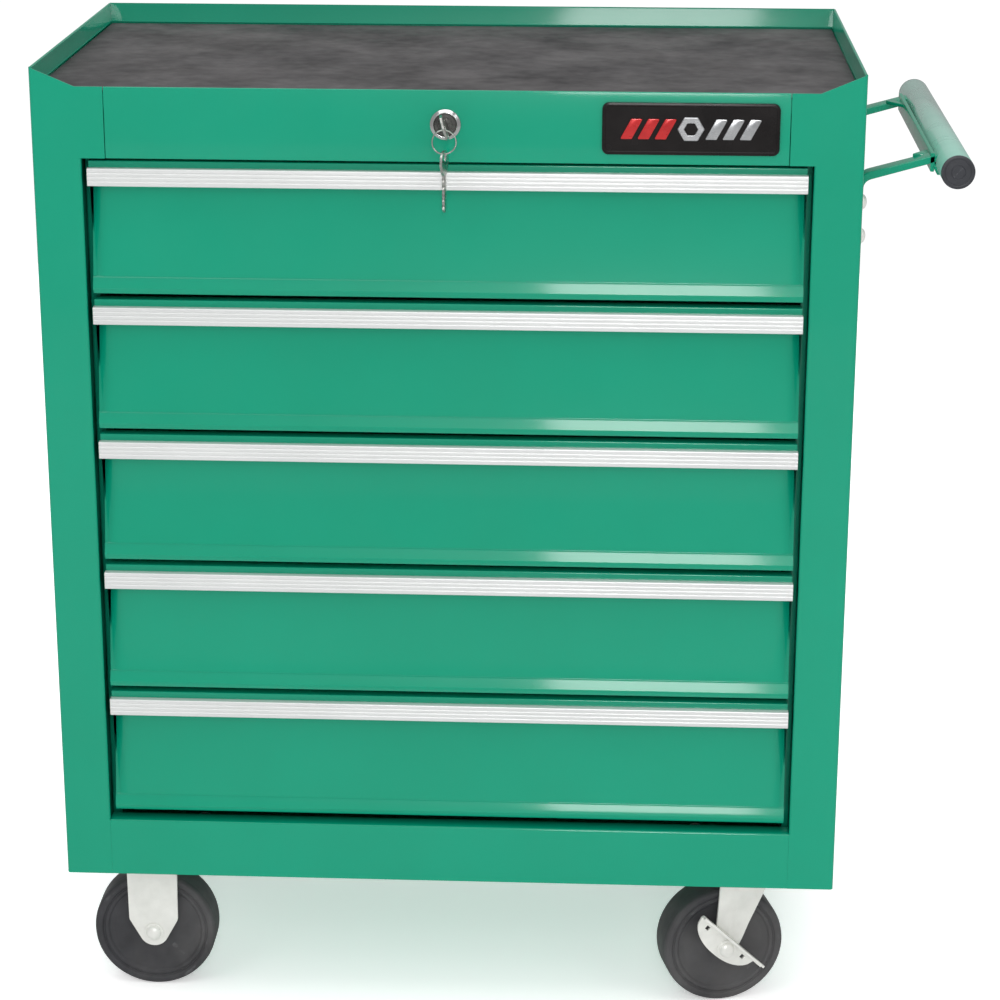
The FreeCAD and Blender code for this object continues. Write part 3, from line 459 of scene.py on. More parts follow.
def wear_group() -> bpy.types.NodeTree:
    """A mask that rises on sharp outer edges, broken up by noise.

    Returns:
        The group.
    """
    net, given, out = start_group(Group.WEAR, {"Start": 0.54, "Amount": 1.0}, {"Mask": "NodeSocketFloat"})
    sharp = net.node("ShaderNodeNewGeometry").outputs["Pointiness"]
    full = net.node("ShaderNodeMath", {0: given["Start"], 1: 0.08}, operation="ADD")
    mask = net.node(
        "ShaderNodeMapRange",
        {"Value": sharp, "From Min": given["Start"], "From Max": full.outputs[0], "To Max": given["Amount"]})
    place_in = net.node("ShaderNodeTexCoord").outputs["Object"]
    noise = net.node("ShaderNodeTexNoise", {"Vector": place_in, "Scale": 180.0, "Detail": 2.0})
    broken = net.node(
        "ShaderNodeMapRange", {"Value": noise.outputs[0], "From Min": 0.4, "From Max": 0.6})
    both = net.node("ShaderNodeMath", {0: mask.outputs[0], 1: broken.outputs[0]}, operation="MULTIPLY")
    net.tree.links.new(both.outputs[0], out["Mask"])
    return net.tree


def dust_group() -> bpy.types.NodeTree:
    """A mask of thin dust that lies in soft patches.

    Returns:
        The group.
    """
    net, given, out = start_group(Group.DUST, {"Scale": 9.0, "Amount": 0.2}, {"Mask": "NodeSocketFloat"})
    place_in = net.node("ShaderNodeTexCoord").outputs["Object"]
    noise = net.node(
        "ShaderNodeTexNoise", {"Vector": place_in, "Scale": given["Scale"], "Detail": 6.0, "Distortion": 0.6})
    mask = net.node(
        "ShaderNodeMapRange",
        {"Value": noise.outputs[0], "From Min": 0.42, "From Max": 0.75, "To Max": given["Amount"]})
    net.tree.links.new(mask.outputs[0], out["Mask"])
    return net.tree


@dataclass(frozen=True)
class Finish:
    """A finish: two colours that drift into each other, gloss, grain, dust and edge wear.

    Attributes:
        name: The material's name.
        slot: The record's material slot. Not used.
        dark: The deeper colour.
        light: The lighter colour.
        patch: How many patches of colour there are in a metre.
        metal: 1 for bare metal.
        smooth: The glossiest roughness.
        rough: The dullest roughness.
        grain: How many grains there are in a metre.
        stretch: How far the grain is drawn out along X.
        depth: The grain's depth in millimetres.
        edge: The colour that edges wear to.
        wear: How much the edges show it.
        dust: How much dust lies on it.
        coat: The weight of a clear coat.
        shine: The specular level.
    """

    name: str
    slot: str
    dark: tuple[float, float, float]
    light: tuple[float, float, float]
    patch: float = 12.0
    metal: float = 0.0
    smooth: float = 0.3
    rough: float = 0.4
    grain: float = 700.0
    stretch: float = 1.0
    depth: float = 0.01
    edge: tuple[float, float, float] = (0.5, 0.5, 0.5)
    wear: float = 0.0
    dust: float = 0.0
    coat: float = 0.0
    shine: float = 0.5

    def make(self, groups: dict[Group, bpy.types.NodeTree]) -> bpy.types.Material:
        """Builds the material.

        Args:
            groups: The shared effects.

        Returns:
            The material.
        """
        material = bpy.data.materials.new(self.name)
        material.use_nodes = True
        net = Net(material.node_tree)
        shader = material.node_tree.nodes["Principled BSDF"]
        mottle = self.group(net, groups[Group.MOTTLE], {
            "Scale": self.patch, "Dark": (*self.dark, 1), "Light": (*self.light, 1)})
        colour = mottle.outputs["Color"]
        if self.wear:
            worn = self.group(net, groups[Group.WEAR], {"Amount": self.wear})
            colour = net.node(
                "ShaderNodeMix", {"Factor": worn.outputs["Mask"], 6: colour, 7: (*self.edge, 1)},
                data_type="RGBA").outputs[2]
        if self.dust:
            dust = self.group(net, groups[Group.DUST], {"Amount": self.dust})
            colour = net.node(
                "ShaderNodeMix", {"Factor": dust.outputs["Mask"], 6: colour, 7: DUST_COLOUR},
                data_type="RGBA").outputs[2]
        grain = self.group(net, groups[Group.GRAIN], {
            "Scale": self.grain, "Stretch": self.stretch, "Smooth": self.smooth, "Rough": self.rough})
        bump = net.node(
            "ShaderNodeBump",
            {"Height": grain.outputs["Height"], "Distance": self.depth * MM, "Strength": 1.0})
        links = material.node_tree.links
        links.new(colour, shader.inputs["Base Color"])
        links.new(grain.outputs["Roughness"], shader.inputs["Roughness"])
        links.new(bump.outputs[0], shader.inputs["Normal"])
        shader.inputs["Metallic"].default_value = self.metal
        shader.inputs["Coat Weight"].default_value = self.coat
        shader.inputs["Coat Roughness"].default_value = COAT_ROUGHNESS
        shader.inputs["Specular IOR Level"].default_value = self.shine
        return material

    @staticmethod
    def group(net: Net, tree: bpy.types.NodeTree, values: dict[str, float | tuple]) -> bpy.types.Node:
        """Places one shared effect with its own values.

        Args:
            net: The material's nodes.
            tree: The effect.
            values: Its inputs by name.

        Returns:
            The placed group.
        """
        made = net.tree.nodes.new("ShaderNodeGroup")
        made.node_tree = tree
        for name, value in values.items():
            made.inputs[name].default_value = value
        return made


ENAMEL = Finish(
    "green_enamel", "green_enamel", (0.0003, 0.25, 0.145), (0.0006, 0.27, 0.16), patch=2.5, smooth=0.28,
    rough=0.34, grain=420.0, depth=0.004, coat=0.6, shine=0.16)
# Painted shade: a much darker green for the fold into the drawer opening. It stands in for the shade inside
# the gap beside the drawers.
PAINTED_SHADE = Finish(
    "painted_shade_enamel", "green_enamel", (0.0005, 0.05, 0.03), (0.001, 0.075, 0.045), patch=6.0, smooth=0.4,
    rough=0.5, grain=420.0, depth=0.006, shine=0.1)
# Painted sheen: the body's green enamel with a much paler base colour. It stands in for the grip tube's
# strong reflection of the lights above. Its clear coat gives real gloss as well.
GRIP_SHEEN = Finish(
    "grip_enamel_painted_sheen", "green_enamel", (0.24, 0.48, 0.4), (0.31, 0.54, 0.46), patch=9.0, smooth=0.22,
    rough=0.34, grain=420.0, depth=0.004, coat=0.8, shine=0.4)
MAT = Finish(
    "mat_rubber", "mat_rubber", (0.034, 0.032, 0.034), (0.088, 0.084, 0.086), patch=17.0, smooth=0.5,
    rough=0.72, grain=900.0, depth=0.1, dust=0.04, shine=0.2)
ALUMINIUM = Finish(
    "pull_aluminium", "pull_aluminium", (0.71, 0.72, 0.715), (0.75, 0.76, 0.755), patch=8.0, metal=0.45,
    smooth=0.3, rough=0.38, grain=2600.0, stretch=60.0, depth=0.003)
SLIDE = Finish(
    "slide_steel", "slide_steel", (0.5, 0.51, 0.52), (0.66, 0.67, 0.68), patch=20.0, metal=1.0, smooth=0.3,
    rough=0.45, grain=1500.0, stretch=8.0, depth=0.01, dust=0.1)
ZINC = Finish(
    "zinc_steel", "zinc_steel", (0.74, 0.74, 0.7), (0.88, 0.88, 0.84), patch=22.0, metal=0.35, smooth=0.3,
    rough=0.5, grain=900.0, depth=0.02, dust=0.1)
RUBBER = Finish(
    "wheel_rubber", "wheel_rubber", (0.026, 0.026, 0.029), (0.042, 0.042, 0.047), patch=22.0, smooth=0.42,
    rough=0.62, grain=1100.0, depth=0.05, edge=(0.09, 0.09, 0.095), wear=0.6, dust=0.14, shine=0.4)
BADGE = Finish(
    "badge_black", "badge_black", (0.006, 0.005, 0.005), (0.011, 0.009, 0.009), patch=20.0, smooth=0.2,
    rough=0.3, grain=500.0, depth=0.004, edge=(0.08, 0.07, 0.07), wear=0.4, coat=0.05, shine=0.22)
EMBLEM_SILVER = Finish(
    "emblem_silver", "badge_black", (0.55, 0.56, 0.58), (0.78, 0.79, 0.8), patch=60.0, metal=1.0,
    smooth=0.2, rough=0.34, grain=1600.0, stretch=20.0, depth=0.006)
EMBLEM_RED = Finish(
    "emblem_red", "badge_black", (0.42, 0.012, 0.014), (0.55, 0.02, 0.02), patch=60.0, metal=0.3,
    smooth=0.22, rough=0.34, grain=900.0, depth=0.006, coat=0.3)
CAP = Finish(
    "cap_plastic", "cap_plastic", (0.017, 0.019, 0.024), (0.028, 0.03, 0.037), patch=40.0, smooth=0.38,
    rough=0.52, grain=1400.0, depth=0.02, edge=(0.16, 0.16, 0.18), wear=0.5, dust=0.1)
CHROME = Finish(
    "lock_chrome", "lock_chrome", (0.66, 0.66, 0.66), (0.8, 0.8, 0.8), patch=60.0, metal=1.0, smooth=0.1,
    rough=0.2, grain=900.0, depth=0.004)
PLUG = Finish(
    "lock_plug_steel", "lock_chrome", (0.06, 0.06, 0.058), (0.16, 0.16, 0.15), patch=120.0, metal=0.8,
    smooth=0.22, rough=0.36, grain=1800.0, depth=0.01)
NICKEL = Finish(
    "key_nickel", "key_nickel", (0.52, 0.52, 0.49), (0.68, 0.68, 0.65), patch=70.0, metal=1.0, smooth=0.2,
    rough=0.36, grain=1500.0, depth=0.012)
FINISHES = (
    ENAMEL, PAINTED_SHADE, GRIP_SHEEN, MAT, ALUMINIUM, SLIDE, ZINC, RUBBER, BADGE, EMBLEM_SILVER, EMBLEM_RED, CAP, CHROME,
    PLUG, NICKEL)
DUST_COLOUR = (0.45, 0.43, 0.4, 1)
COAT_ROUGHNESS = 0.07


class Paintshop:
    """Builds every finish once and hands it out by name."""

    def __init__(self) -> None:
        """Makes the shared effects and the materials."""
        groups = {
            Group.MOTTLE: mottle_group(), Group.GRAIN: grain_group(), Group.WEAR: wear_group(),
            Group.DUST: dust_group()}
        self.materials = {finish.name: finish.make(groups) for finish in FINISHES}

    def dress_node(self, node: str, finish: Finish) -> None:
        """Gives a CAD node a finish through its material slots.

        Args:
            node: The CAD node's name.
            finish: What it gets.
        """
        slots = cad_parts[node].data.materials
        slots.clear()
        slots.append(self.materials[finish.name])


# ------------------------------------------------------------------ pieces


@dataclass
class Piece:
    """One visible piece: surfaces that ride together on a body.

    Attributes:
        name: The piece's name.
        body: The CAD body that it moves with.
        finishes: Its finishes, in the order that its surfaces count them.
        stands_for: The CAD nodes that it replaces.
        shells: Its surfaces.
    """

    name: str
    body: str
    finishes: Sequence[Finish]
    stands_for: Sequence[str] = ()
    shells: list[Shell] = field(default_factory=list)

    def add(self, *shells: Shell) -> "Piece":
        """Adds surfaces."""
        self.shells.extend(shells)
        return self

    def mesh(self, weld: bool, outward: tuple[float, float, float] | None) -> bpy.types.Mesh:
        """Puts the surfaces into a mesh with its faces outwards.

        Args:
            weld: Merges points that meet, for a surface made of several patches.
            outward: For an open surface, the direction that its furthest face looks.

        Returns:
            The mesh.
        """
        starts = np.cumsum([0] + [len(shell.points) for shell in self.shells[:-1]])
        points = np.concatenate([shell.points for shell in self.shells]) * MM
        faces, marks = [], []
        for start, shell in zip(starts, self.shells):
            parts = (shell.quads + start).tolist() + [(lid + start).tolist() for lid in shell.lids]
            faces += parts
            marks += [shell.finish] * len(parts)
        mesh = bpy.data.meshes.new(self.name)
        mesh.from_pydata(points.tolist(), [], faces)
        mesh.polygons.foreach_set("material_index", np.array(marks, np.int32))
        work = bmesh.new()
        work.from_mesh(mesh)
        if weld:
            bmesh.ops.remove_doubles(work, verts=work.verts, dist=2e-6)
            bmesh.ops.dissolve_degenerate(work, edges=work.edges, dist=1e-6)
        bmesh.ops.recalc_face_normals(work, faces=work.faces)
        if outward:
            way = np.array(outward)
            far = max(work.faces, key=lambda face: float(np.dot(face.calc_center_median(), way)))
            if float(np.dot(far.normal, way)) < 0:
                bmesh.ops.reverse_faces(work, faces=work.faces)
        work.to_mesh(mesh)
        work.free()
        return mesh

    def make(
        self, shop: Paintshop, weld: bool = False, outward: tuple[float, float, float] | None = None,
        sheet: float = 0.0, bevel: float = 0.0, crease: float = 35.0,
    ) -> bpy.types.Object:
        """Builds the object, dresses it and hands it to its body.

        Args:
            shop: Where the finishes come from.
            weld: Merges points that meet.
            outward: For an open surface, the direction that its furthest face looks.
            sheet: The thickness, in millimetres, that an open surface is given inwards.
            bevel: The width, in millimetres, that sharp edges are softened by.
            crease: Edges sharper than this many degrees stay sharp in the shading.

        Returns:
            The object.
        """
        mesh = self.mesh(weld, outward)
        mesh.shade_smooth()
        mesh.set_sharp_from_angle(angle=math.radians(crease))
        for finish in self.finishes:
            mesh.materials.append(shop.materials[finish.name])
        thing = bpy.data.objects.new(self.name, mesh)
        bpy.context.scene.collection.objects.link(thing)
        if sheet:
            skin = thing.modifiers.new("thickness", "SOLIDIFY")
            skin.thickness, skin.offset, skin.use_even_offset = sheet * MM, -1.0, True
        if bevel:
            soft = thing.modifiers.new("soft_edges", "BEVEL")
            soft.width, soft.segments, soft.limit_method = bevel * MM, 2, "ANGLE"
            soft.angle_limit, soft.harden_normals = math.radians(50), True
        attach(thing, self.body)
        if self.stands_for:
            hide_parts(*self.stands_for)
        log.info("%s rides on %s, %d surfaces", self.name, self.body, len(self.shells))
        return thing


# ------------------------------------------------------------------ cabinet


@dataclass
class Cabinet:
    """The folded body: two sides with their stiles, the fascia, the rail, the deck and the mat.

    Attributes:
        shop: Where the finishes come from.
        sheet: The sides' thickness.
        front_sheet: The fascia's and the rail's thickness, a little less so that they lie clear.
        stile: How wide the side is at the front, beside the drawers.
        ear: The same beside the fascia.
        slope: How wide the stretch is across which the front's top edge climbs.
        fold: The outer radius of the fold into the drawers' opening.
        corner: The outer radius of the upright corners.
        fold_in: How deep the folds behind the front go.
        hem: How far the rolled lips are turned down inside.
        flange: How wide the side's flange at the back is.
        seam: The gap between an ear and the fascia.
        fascia_hem: How far the fascia's top edge is turned down behind it.
        fascia_bend: The outer radius of the fascia's bends.
        rail_bend: The outer radius of the rail's bends.
        ledge_drop: How far the rail's rear edge is turned down.
        mat_edge: How wide the mat's softened border is.
    """

    shop: Paintshop
    sheet: float = 1.0
    front_sheet: float = 0.95
    stile: float = 36.5
    ear: float = 54.5
    slope: float = 33.5
    fold: float = 2.0
    corner: float = 2.5
    fold_in: float = 16.0
    hem: float = 15.4
    flange: float = 16.0
    seam: float = 0.6
    fascia_hem: float = 8.0
    fascia_bend: float = 0.98
    rail_bend: float = 1.6
    ledge_drop: float = 5.9
    mat_edge: float = 2.5

    def __post_init__(self) -> None:
        """Reads the body's planes from the CAD nodes."""
        low, high = span("side_panel_right")
        self.half, self.front, self.back = high[0], low[1], high[1]
        self.skirt, self.top = low[2], high[2]
        fascia, rail = span("top_fascia"), span("bottom_rail")
        self.open_low, self.open_top, self.lip = rail[1][2], fascia[0][2], fascia[1][2]
        self.rail_back = rail[1][1]

    def build(self) -> None:
        """Makes every piece of the body."""
        self.side(1)
        self.side(-1)
        self.side_hems()
        self.fascia()
        self.rail()
        self.mat()
        for node in ("back_panel", "base_panel", "top_tray", "slide_uprights"):
            self.shop.dress_node(node, ENAMEL)
        self.shop.dress_node("slide_outer_rails", SLIDE)
        self.shop.dress_node("caster_bolts", ZINC)

    def side(self, way: int) -> None:
        """One side: a plan line from the stile round the corner to the back flange, raised to its top edge.

        The line's points are x(u), y(u); each rises from the skirt to top(u), which climbs the ear's slope
        across the stile and then runs level under the rolled lip. The ear, the strip below the opening and
        the fold into the opening are patches that meet it along one upright line.

        Args:
            way: 1 for the right side, -1 for the left one.
        """
        turn = np.radians(np.linspace(-90, 0, 7))
        inner = self.half - self.stile + self.fold
        flat_x = np.array([inner, self.half - self.slope, self.half - self.corner - 0.01])
        front_arc = np.stack([
            self.half - self.corner + self.corner * np.cos(turn),
            self.front + self.corner + self.corner * np.sin(turn)], axis=1)
        back_arc = np.stack([front_arc[::-1, 0], -front_arc[::-1, 1]], axis=1)
        plan = np.concatenate([
            np.stack([flat_x, np.full(3, self.front)], axis=1), front_arc, back_arc,
            [[self.half - self.flange, self.back]]])
        climb = np.clip((plan[:, 0] - (self.half - self.slope)) / self.slope, 0, 1)
        top = self.lip + (self.top - self.lip) * climb
        top[plan[:, 1] > self.front + self.corner - 0.01] = self.top - self.sheet
        levels = np.stack([
            np.full(len(plan), self.skirt), np.full(len(plan), self.open_low),
            np.full(len(plan), self.open_top), top])
        body = np.empty((4, len(plan), 3))
        body[..., 0], body[..., 1], body[..., 2] = plan[:, 0], plan[:, 1], levels

        def patch(line: Points, low: float, high: float) -> Shell:
            """A plan line raised between two levels.

            Args:
                line: The line's points from above.
                low: The level that it rises from.
                high: The level that it rises to.

            Returns:
                The upright surface.
            """
            points = np.empty((2, len(line), 3))
            points[..., :2] = line
            points[..., 2] = np.array([[low], [high]])
            return grid(points)

        edge = self.half - self.stile
        bend = np.radians(np.linspace(-90, -180, 7))
        fold_line = np.concatenate([
            np.stack([inner + self.fold * np.cos(bend), self.front + self.fold * (1 + np.sin(bend))], axis=1),
            [[edge, self.front + self.fold_in]]])
        below = np.array([[edge, self.front], [inner, self.front]])
        ear = np.array([[self.half - self.ear, self.front], [inner, self.front]])
        # The fold's inner return takes the second finish, a darker green painted as the shade in the gap
        # beside the drawers.
        shells = [
            grid(body), patch(fold_line[:7], self.open_low, self.open_top),
            patch(fold_line[6:], self.open_low, self.open_top).finished(1),
            patch(below, self.skirt, self.open_low), patch(ear, self.open_top, self.lip)]
        name = "side_panel_right" if way > 0 else "side_panel_left"
        piece = Piece(f"{name}_skin", "cabinet", (ENAMEL, PAINTED_SHADE), (name,))
        piece.add(*(shells if way > 0 else [shell.mirrored() for shell in shells]))
        piece.make(self.shop, weld=True, outward=(way, 0, 0), sheet=self.sheet, bevel=0.25)

    def side_hems(self) -> None:
        """The rolled lips: a half round over the sheet's top edge with a leaf turned down inside it."""
        roll = self.sheet + 0.05
        turn = np.radians(np.linspace(0, 180, 9))
        over = np.stack([roll * np.cos(turn) - roll, roll * np.sin(turn)], axis=1)
        leaf = np.array([
            [-2 * roll, -self.hem + 2 * roll], [-2 * roll - 0.5, 1 - self.hem],
            [-2 * roll + 0.5, 1 - self.hem], [-roll - 0.05, -self.hem + 3 * roll], [-roll, -0.02]])
        section = np.concatenate([over, leaf, [[0, -0.02]]]) + np.array([self.half, self.top - roll])
        right = bar(section, Axis.Y, self.front + self.corner, self.back - self.corner)
        back = np.stack([section[:, 0] - self.half + self.back - self.sheet, section[:, 1]], axis=1)
        behind = bar(back, Axis.X, 2 * self.sheet - self.half, self.half - 2 * self.sheet)
        piece = Piece("rolled_lips", "cabinet", (ENAMEL,))
        piece.add(right, right.mirrored(), behind).make(self.shop, bevel=0.15)

    def fascia(self) -> None:
        """The front sheet above the drawers, carried across: a hem, the face and the fold under it."""
        line = [
            (self.front + 2 * self.sheet, self.lip - self.fascia_hem),
            (self.front + 2 * self.sheet, self.lip),
            (self.front, self.lip), (self.front, self.open_top), (self.front + self.fold_in, self.open_top)]
        section = folded(line, self.front_sheet, self.fascia_bend)
        half = self.half - self.ear - self.seam
        piece = Piece("fascia_sheet", "cabinet", (ENAMEL,), ("top_fascia",))
        piece.add(bar(section, Axis.X, -half, half)).make(self.shop, bevel=0.2)

    def rail(self) -> None:
        """The front sheet below the drawers: the face, the ledge and its turned-down edge."""
        drop = self.open_low - self.ledge_drop
        line = [(self.front, self.skirt), (self.front, self.open_low), (self.rail_back, self.open_low),
                (self.rail_back, drop)]
        section = folded(line, self.front_sheet, self.rail_bend, side=-1)
        half = self.half - self.stile
        piece = Piece("rail_sheet", "cabinet", (ENAMEL,), ("bottom_rail",))
        piece.add(bar(section, Axis.X, -half, half)).make(self.shop, bevel=0.2)

    def mat(self) -> None:
        """The mat's top as a height over its plane: a sum of slow waves that lie under half a millimetre."""
        low, high = span("top_mat")
        rows, cols = 65, 121
        x = np.linspace(low[0], high[0], cols)[None, :]
        y = np.linspace(low[1], high[1], rows)[:, None]
        wave = 0.16 * np.sin(x / 41 + 0.8 * np.sin(y / 60)) + 0.14 * np.sin(y / 27 + x / 90)
        edge = np.minimum(np.minimum(x - low[0], high[0] - x), np.minimum(y - low[1], high[1] - y))
        soft = np.clip(edge / self.mat_edge, 0, 1)
        points = np.empty((rows, cols, 3))
        points[..., 0], points[..., 1] = x, y
        points[..., 2] = high[2] - 0.3 + wave * soft - 0.5 * (1 - soft) ** 2
        piece = Piece("mat_sheet", "cabinet", (MAT,), ("top_mat",))
        piece.add(grid(points)).make(self.shop, outward=(0, 0, 1), sheet=high[2] - low[2] - 0.9, bevel=0.3)


# ------------------------------------------------------------------ drawers


@dataclass
class Drawer:
    """One drawer: its hollow front, its tray and its ribbed pull.

    Attributes:
        shop: Where the finishes come from.
        number: Which drawer it is, 1 at the top.
        thick: The sheet's thickness, and the outer radius of the front's bends.
        setback: How far the pull's seat lies behind the lip's most forward line.
        hollow: How far the face's deepest line lies behind it.
        bulge: How far the lip stands in front of the CAD drawer.
        crease: The lip's upper crease: how far behind the CAD drawer's front and over the lip's height.
        brow: The line just below that crease, in the same way.
        chin: How far the lip's lowest forward line stands out, and its height over the drawer's foot.
        rise: How far the front rises over the pull.
        step: How far the deepest line lies under the pull's top.
        lip: The lip's height over the drawer's foot.
        flange: How deep the flanges behind the face are.
        rim: How wide the tray's turned-in rim is.
        rim_drop: How far the tray's rim lies under the pull's top.
        turn_back: How far the face's ends turn back.
        turn_wide: Over what width they do.
        fade: Between which heights over the foot the turn back sets in.
        end_gap: How far the end plates lie behind the face's turned-back ends.
        ribs: How far each groove of the pull lies under its top.
    """

    shop: Paintshop
    number: int
    thick: float = 0.9
    setback: float = 5.0
    hollow: float = 12.0
    bulge: float = 3.0
    crease: tuple[float, float] = (2.3, 3.6)
    brow: tuple[float, float] = (1.5, 2.7)
    chin: tuple[float, float] = (1.2, 4.8)
    rise: float = 5.0
    step: float = 16.0
    lip: float = 9.5
    flange: float = 11.0
    rim: float = 5.0
    rim_drop: float = 20.0
    turn_back: float = 4.5
    turn_wide: float = 5.5
    fade: tuple[float, float] = (13.0, 17.0)
    end_gap: float = 0.3
    ribs: tuple[float, ...] = (3.3, 6.4, 9.6)

    def __post_init__(self) -> None:
        """Reads the drawer's planes from its CAD nodes."""
        low, high = span(f"drawer_{self.number}_box")
        pull_low, pull_high = span(f"drawer_{self.number}_pull")
        self.half, self.foot, self.tray_back = high[0], low[2], high[1]
        self.front = low[1] - self.bulge
        self.pull_low, self.pull_top, self.nose = pull_low[2], pull_high[2], pull_low[1]
        self.pull_half = pull_high[0]
        self.runner_half = span(f"drawer_{self.number}_runners")[0]

    @property
    def body(self) -> str:
        """The body that the drawer moves with."""
        return f"drawer_{self.number}"

    def build(self) -> None:
        """Makes the drawer's pieces."""
        self.tub()
        self.pull()
        self.shop.dress_node(f"{self.body}_runners", SLIDE)
        self.shop.dress_node(f"{self.body}_mids", SLIDE)
        self.balls()

    def face_line(self) -> list[tuple[float, float]]:
        """The front's outer corners from the top flange down to the bottom one.

        Returns:
            Each corner's Y and Z.
        """
        y, z = self.front, self.pull_top
        seat, plane, lip_z = y + self.setback, y + self.bulge, self.foot + self.lip
        return [
            (seat + self.flange, z + self.rise), (seat, z + self.rise), (seat, self.pull_low),
            (y + self.hollow, z - self.step), (plane + self.crease[0], lip_z + self.crease[1]),
            (plane + self.brow[0], lip_z + self.brow[1]), (plane - self.chin[0], self.foot + self.chin[1]),
            (seat - 1.0, self.foot), (seat + self.flange, self.foot)]

    def face(self) -> Shell:
        """The folded section carried across, its face turning back at both ends.

        The turn back is a bell over the distance to the end, and fades above the lip and below the pull.

        Returns:
            The face's surface.
        """
        section = folded(self.face_line(), self.thick, self.thick, side=1)
        near = np.array([0, 1, 2, 3, 4, 5.5, 7, 9, 12, 16])
        stations = np.concatenate([-self.half + near, (self.half - near)[::-1]])
        points = place(section[None], stations[:, None], Axis.X)
        from_end = self.half - np.abs(points[..., 0])
        heights = [self.foot + self.fade[0], self.foot + self.fade[1], self.pull_low - 1, self.pull_low]
        share = np.interp(points[..., 2], heights, [0, 1, 1, 0])
        points[..., 1] += self.turn_back * share * np.exp(-((from_end / self.turn_wide) ** 2))
        return grid(points, wrap_cols=True, lids=True)

    def tub(self) -> None:
        """The front with its ends, and the tray as nested rounded outlines.

        Each outline of the tray is the tray's rectangle set in by one distance at one height: up the outer
        wall, over the turned-in rim, down the inner wall and across the floor.
        """
        face = self.face()
        y, flange_y = self.front, self.front + self.setback + self.flange
        top, low, hollow, lip, *rest = self.face_line()[1:]
        back = self.turn_back + self.end_gap
        slope = (lip[0] + 0.4 + back, self.foot + self.fade[1])
        behind = (flange_y, self.pull_top + self.rise)
        corners = [top, low, (hollow[0] + back, hollow[1]), slope, lip, *rest, behind]
        end = inset(rounded(corners, 1.0), self.thick * 0.6)
        ends = [bar(end, Axis.X, x, x + self.thick) for x in (-self.half, self.half - self.thick)]
        tray_half = -self.runner_half[0] - 6.7
        floor, rim_z = self.foot + self.thick, self.pull_top - self.rim_drop
        walls = [
            (3.0, floor), (0.8, floor + 0.3), (0.0, floor + 1.6), (0.0, rim_z - 0.5), (0.5, rim_z),
            (self.rim, rim_z), (self.rim, rim_z - self.thick), (1.4, rim_z - self.thick),
            (self.thick, rim_z - 1.6), (self.thick, floor + 2.4), (1.7, floor + 1.1),
            (3.4, floor + self.thick)]
        y0, y1 = y + self.hollow + self.thick, self.tray_back
        loops = np.stack([
            box_line(-tray_half + by, y0 + by, tray_half - by, y1 - by, max(4.0 - by, 0.6), 5)
            for by, _ in walls])
        levels = np.array([z for _, z in walls])[:, None]
        tray = grid(place(loops, levels, Axis.Z), wrap_cols=True, lids=True)
        piece = Piece(f"{self.body}_tub", self.body, (ENAMEL,), (f"{self.body}_box",))
        piece.add(face, *ends, tray).make(self.shop, bevel=0.2)

    def pull(self) -> None:
        """The extrusion: a face whose depth dips in a narrow bell at each groove, a flange and a hook."""
        nose, top, low = self.nose, self.pull_top, self.pull_low
        deep, wide = 0.55, 0.42
        z = np.linspace(top - 1.1, low + 1.1, 61)
        dip = sum(deep * np.exp(-(((top - z - rib) / wide) ** 2)) for rib in self.ribs)
        crown = 0.25 * (1 - ((z - (top + low) / 2) / ((top - low) / 2)) ** 2)
        face = np.stack([nose + 0.3 - crown + dip, z], axis=1)
        corner = np.radians(np.linspace(0, 90, 5))
        upper = np.stack([nose + 1.2 - np.cos(corner[::-1]), top - 1.0 + np.sin(corner[::-1])], axis=1)
        lower = np.stack([nose + 1.2 - np.cos(corner), low + 1.0 - np.sin(corner)], axis=1)
        behind = np.array([
            [nose + 5, low], [nose + 5, low + 1.5], [nose + 1.8, low + 1.5], [nose + 1.8, top - 1.5],
            [self.front + self.setback, top - 1.5], [self.front + self.setback, top]])
        section = np.concatenate([upper, face, lower, behind])
        rail = bar(section, Axis.X, -self.pull_half, self.pull_half)
        piece = Piece(f"{self.body}_grip_rail", self.body, (ALUMINIUM,), (f"{self.body}_pull",))
        piece.add(rail).make(self.shop, bevel=0.12, crease=30)

    def balls(self) -> None:
        """The slides' balls: small spheres in two rows a side, carried in a thin cage."""
        low, high = span(f"{self.body}_mids")
        run_low, run_high = span(f"{self.body}_runners")
        z_mid = (run_low[2] + run_high[2]) / 2
        x = (run_high[0] + high[0]) / 2 - 1.4
        y = np.linspace(low[1] + 14, low[1] + 110, 9)
        radius, angle = 1.35, np.radians(np.linspace(4, 176, 6))
        profile = np.stack([-radius * np.cos(angle), radius * np.sin(angle)], axis=1)
        ball = lathe(profile, Axis.Z, sides=10)
        piece = Piece(f"{self.body}_balls", f"{self.body}_slides", (SLIDE,))
        for side in (-1, 1):
            for level in (run_low[2] - 1.5, run_high[2] + 1.5):
                piece.add(*[ball.moved(side * x, spot, level) for spot in y])
            cage = box_line(-0.4, -(run_high[2] - z_mid + 2.4), 0.4, run_high[2] - z_mid + 2.4)
            piece.add(bar(cage, Axis.Y, low[1] + 8, low[1] + 116).moved(side * (x + 0.2), 0, z_mid))
        piece.make(self.shop)


# ------------------------------------------------------------------ lock and keys


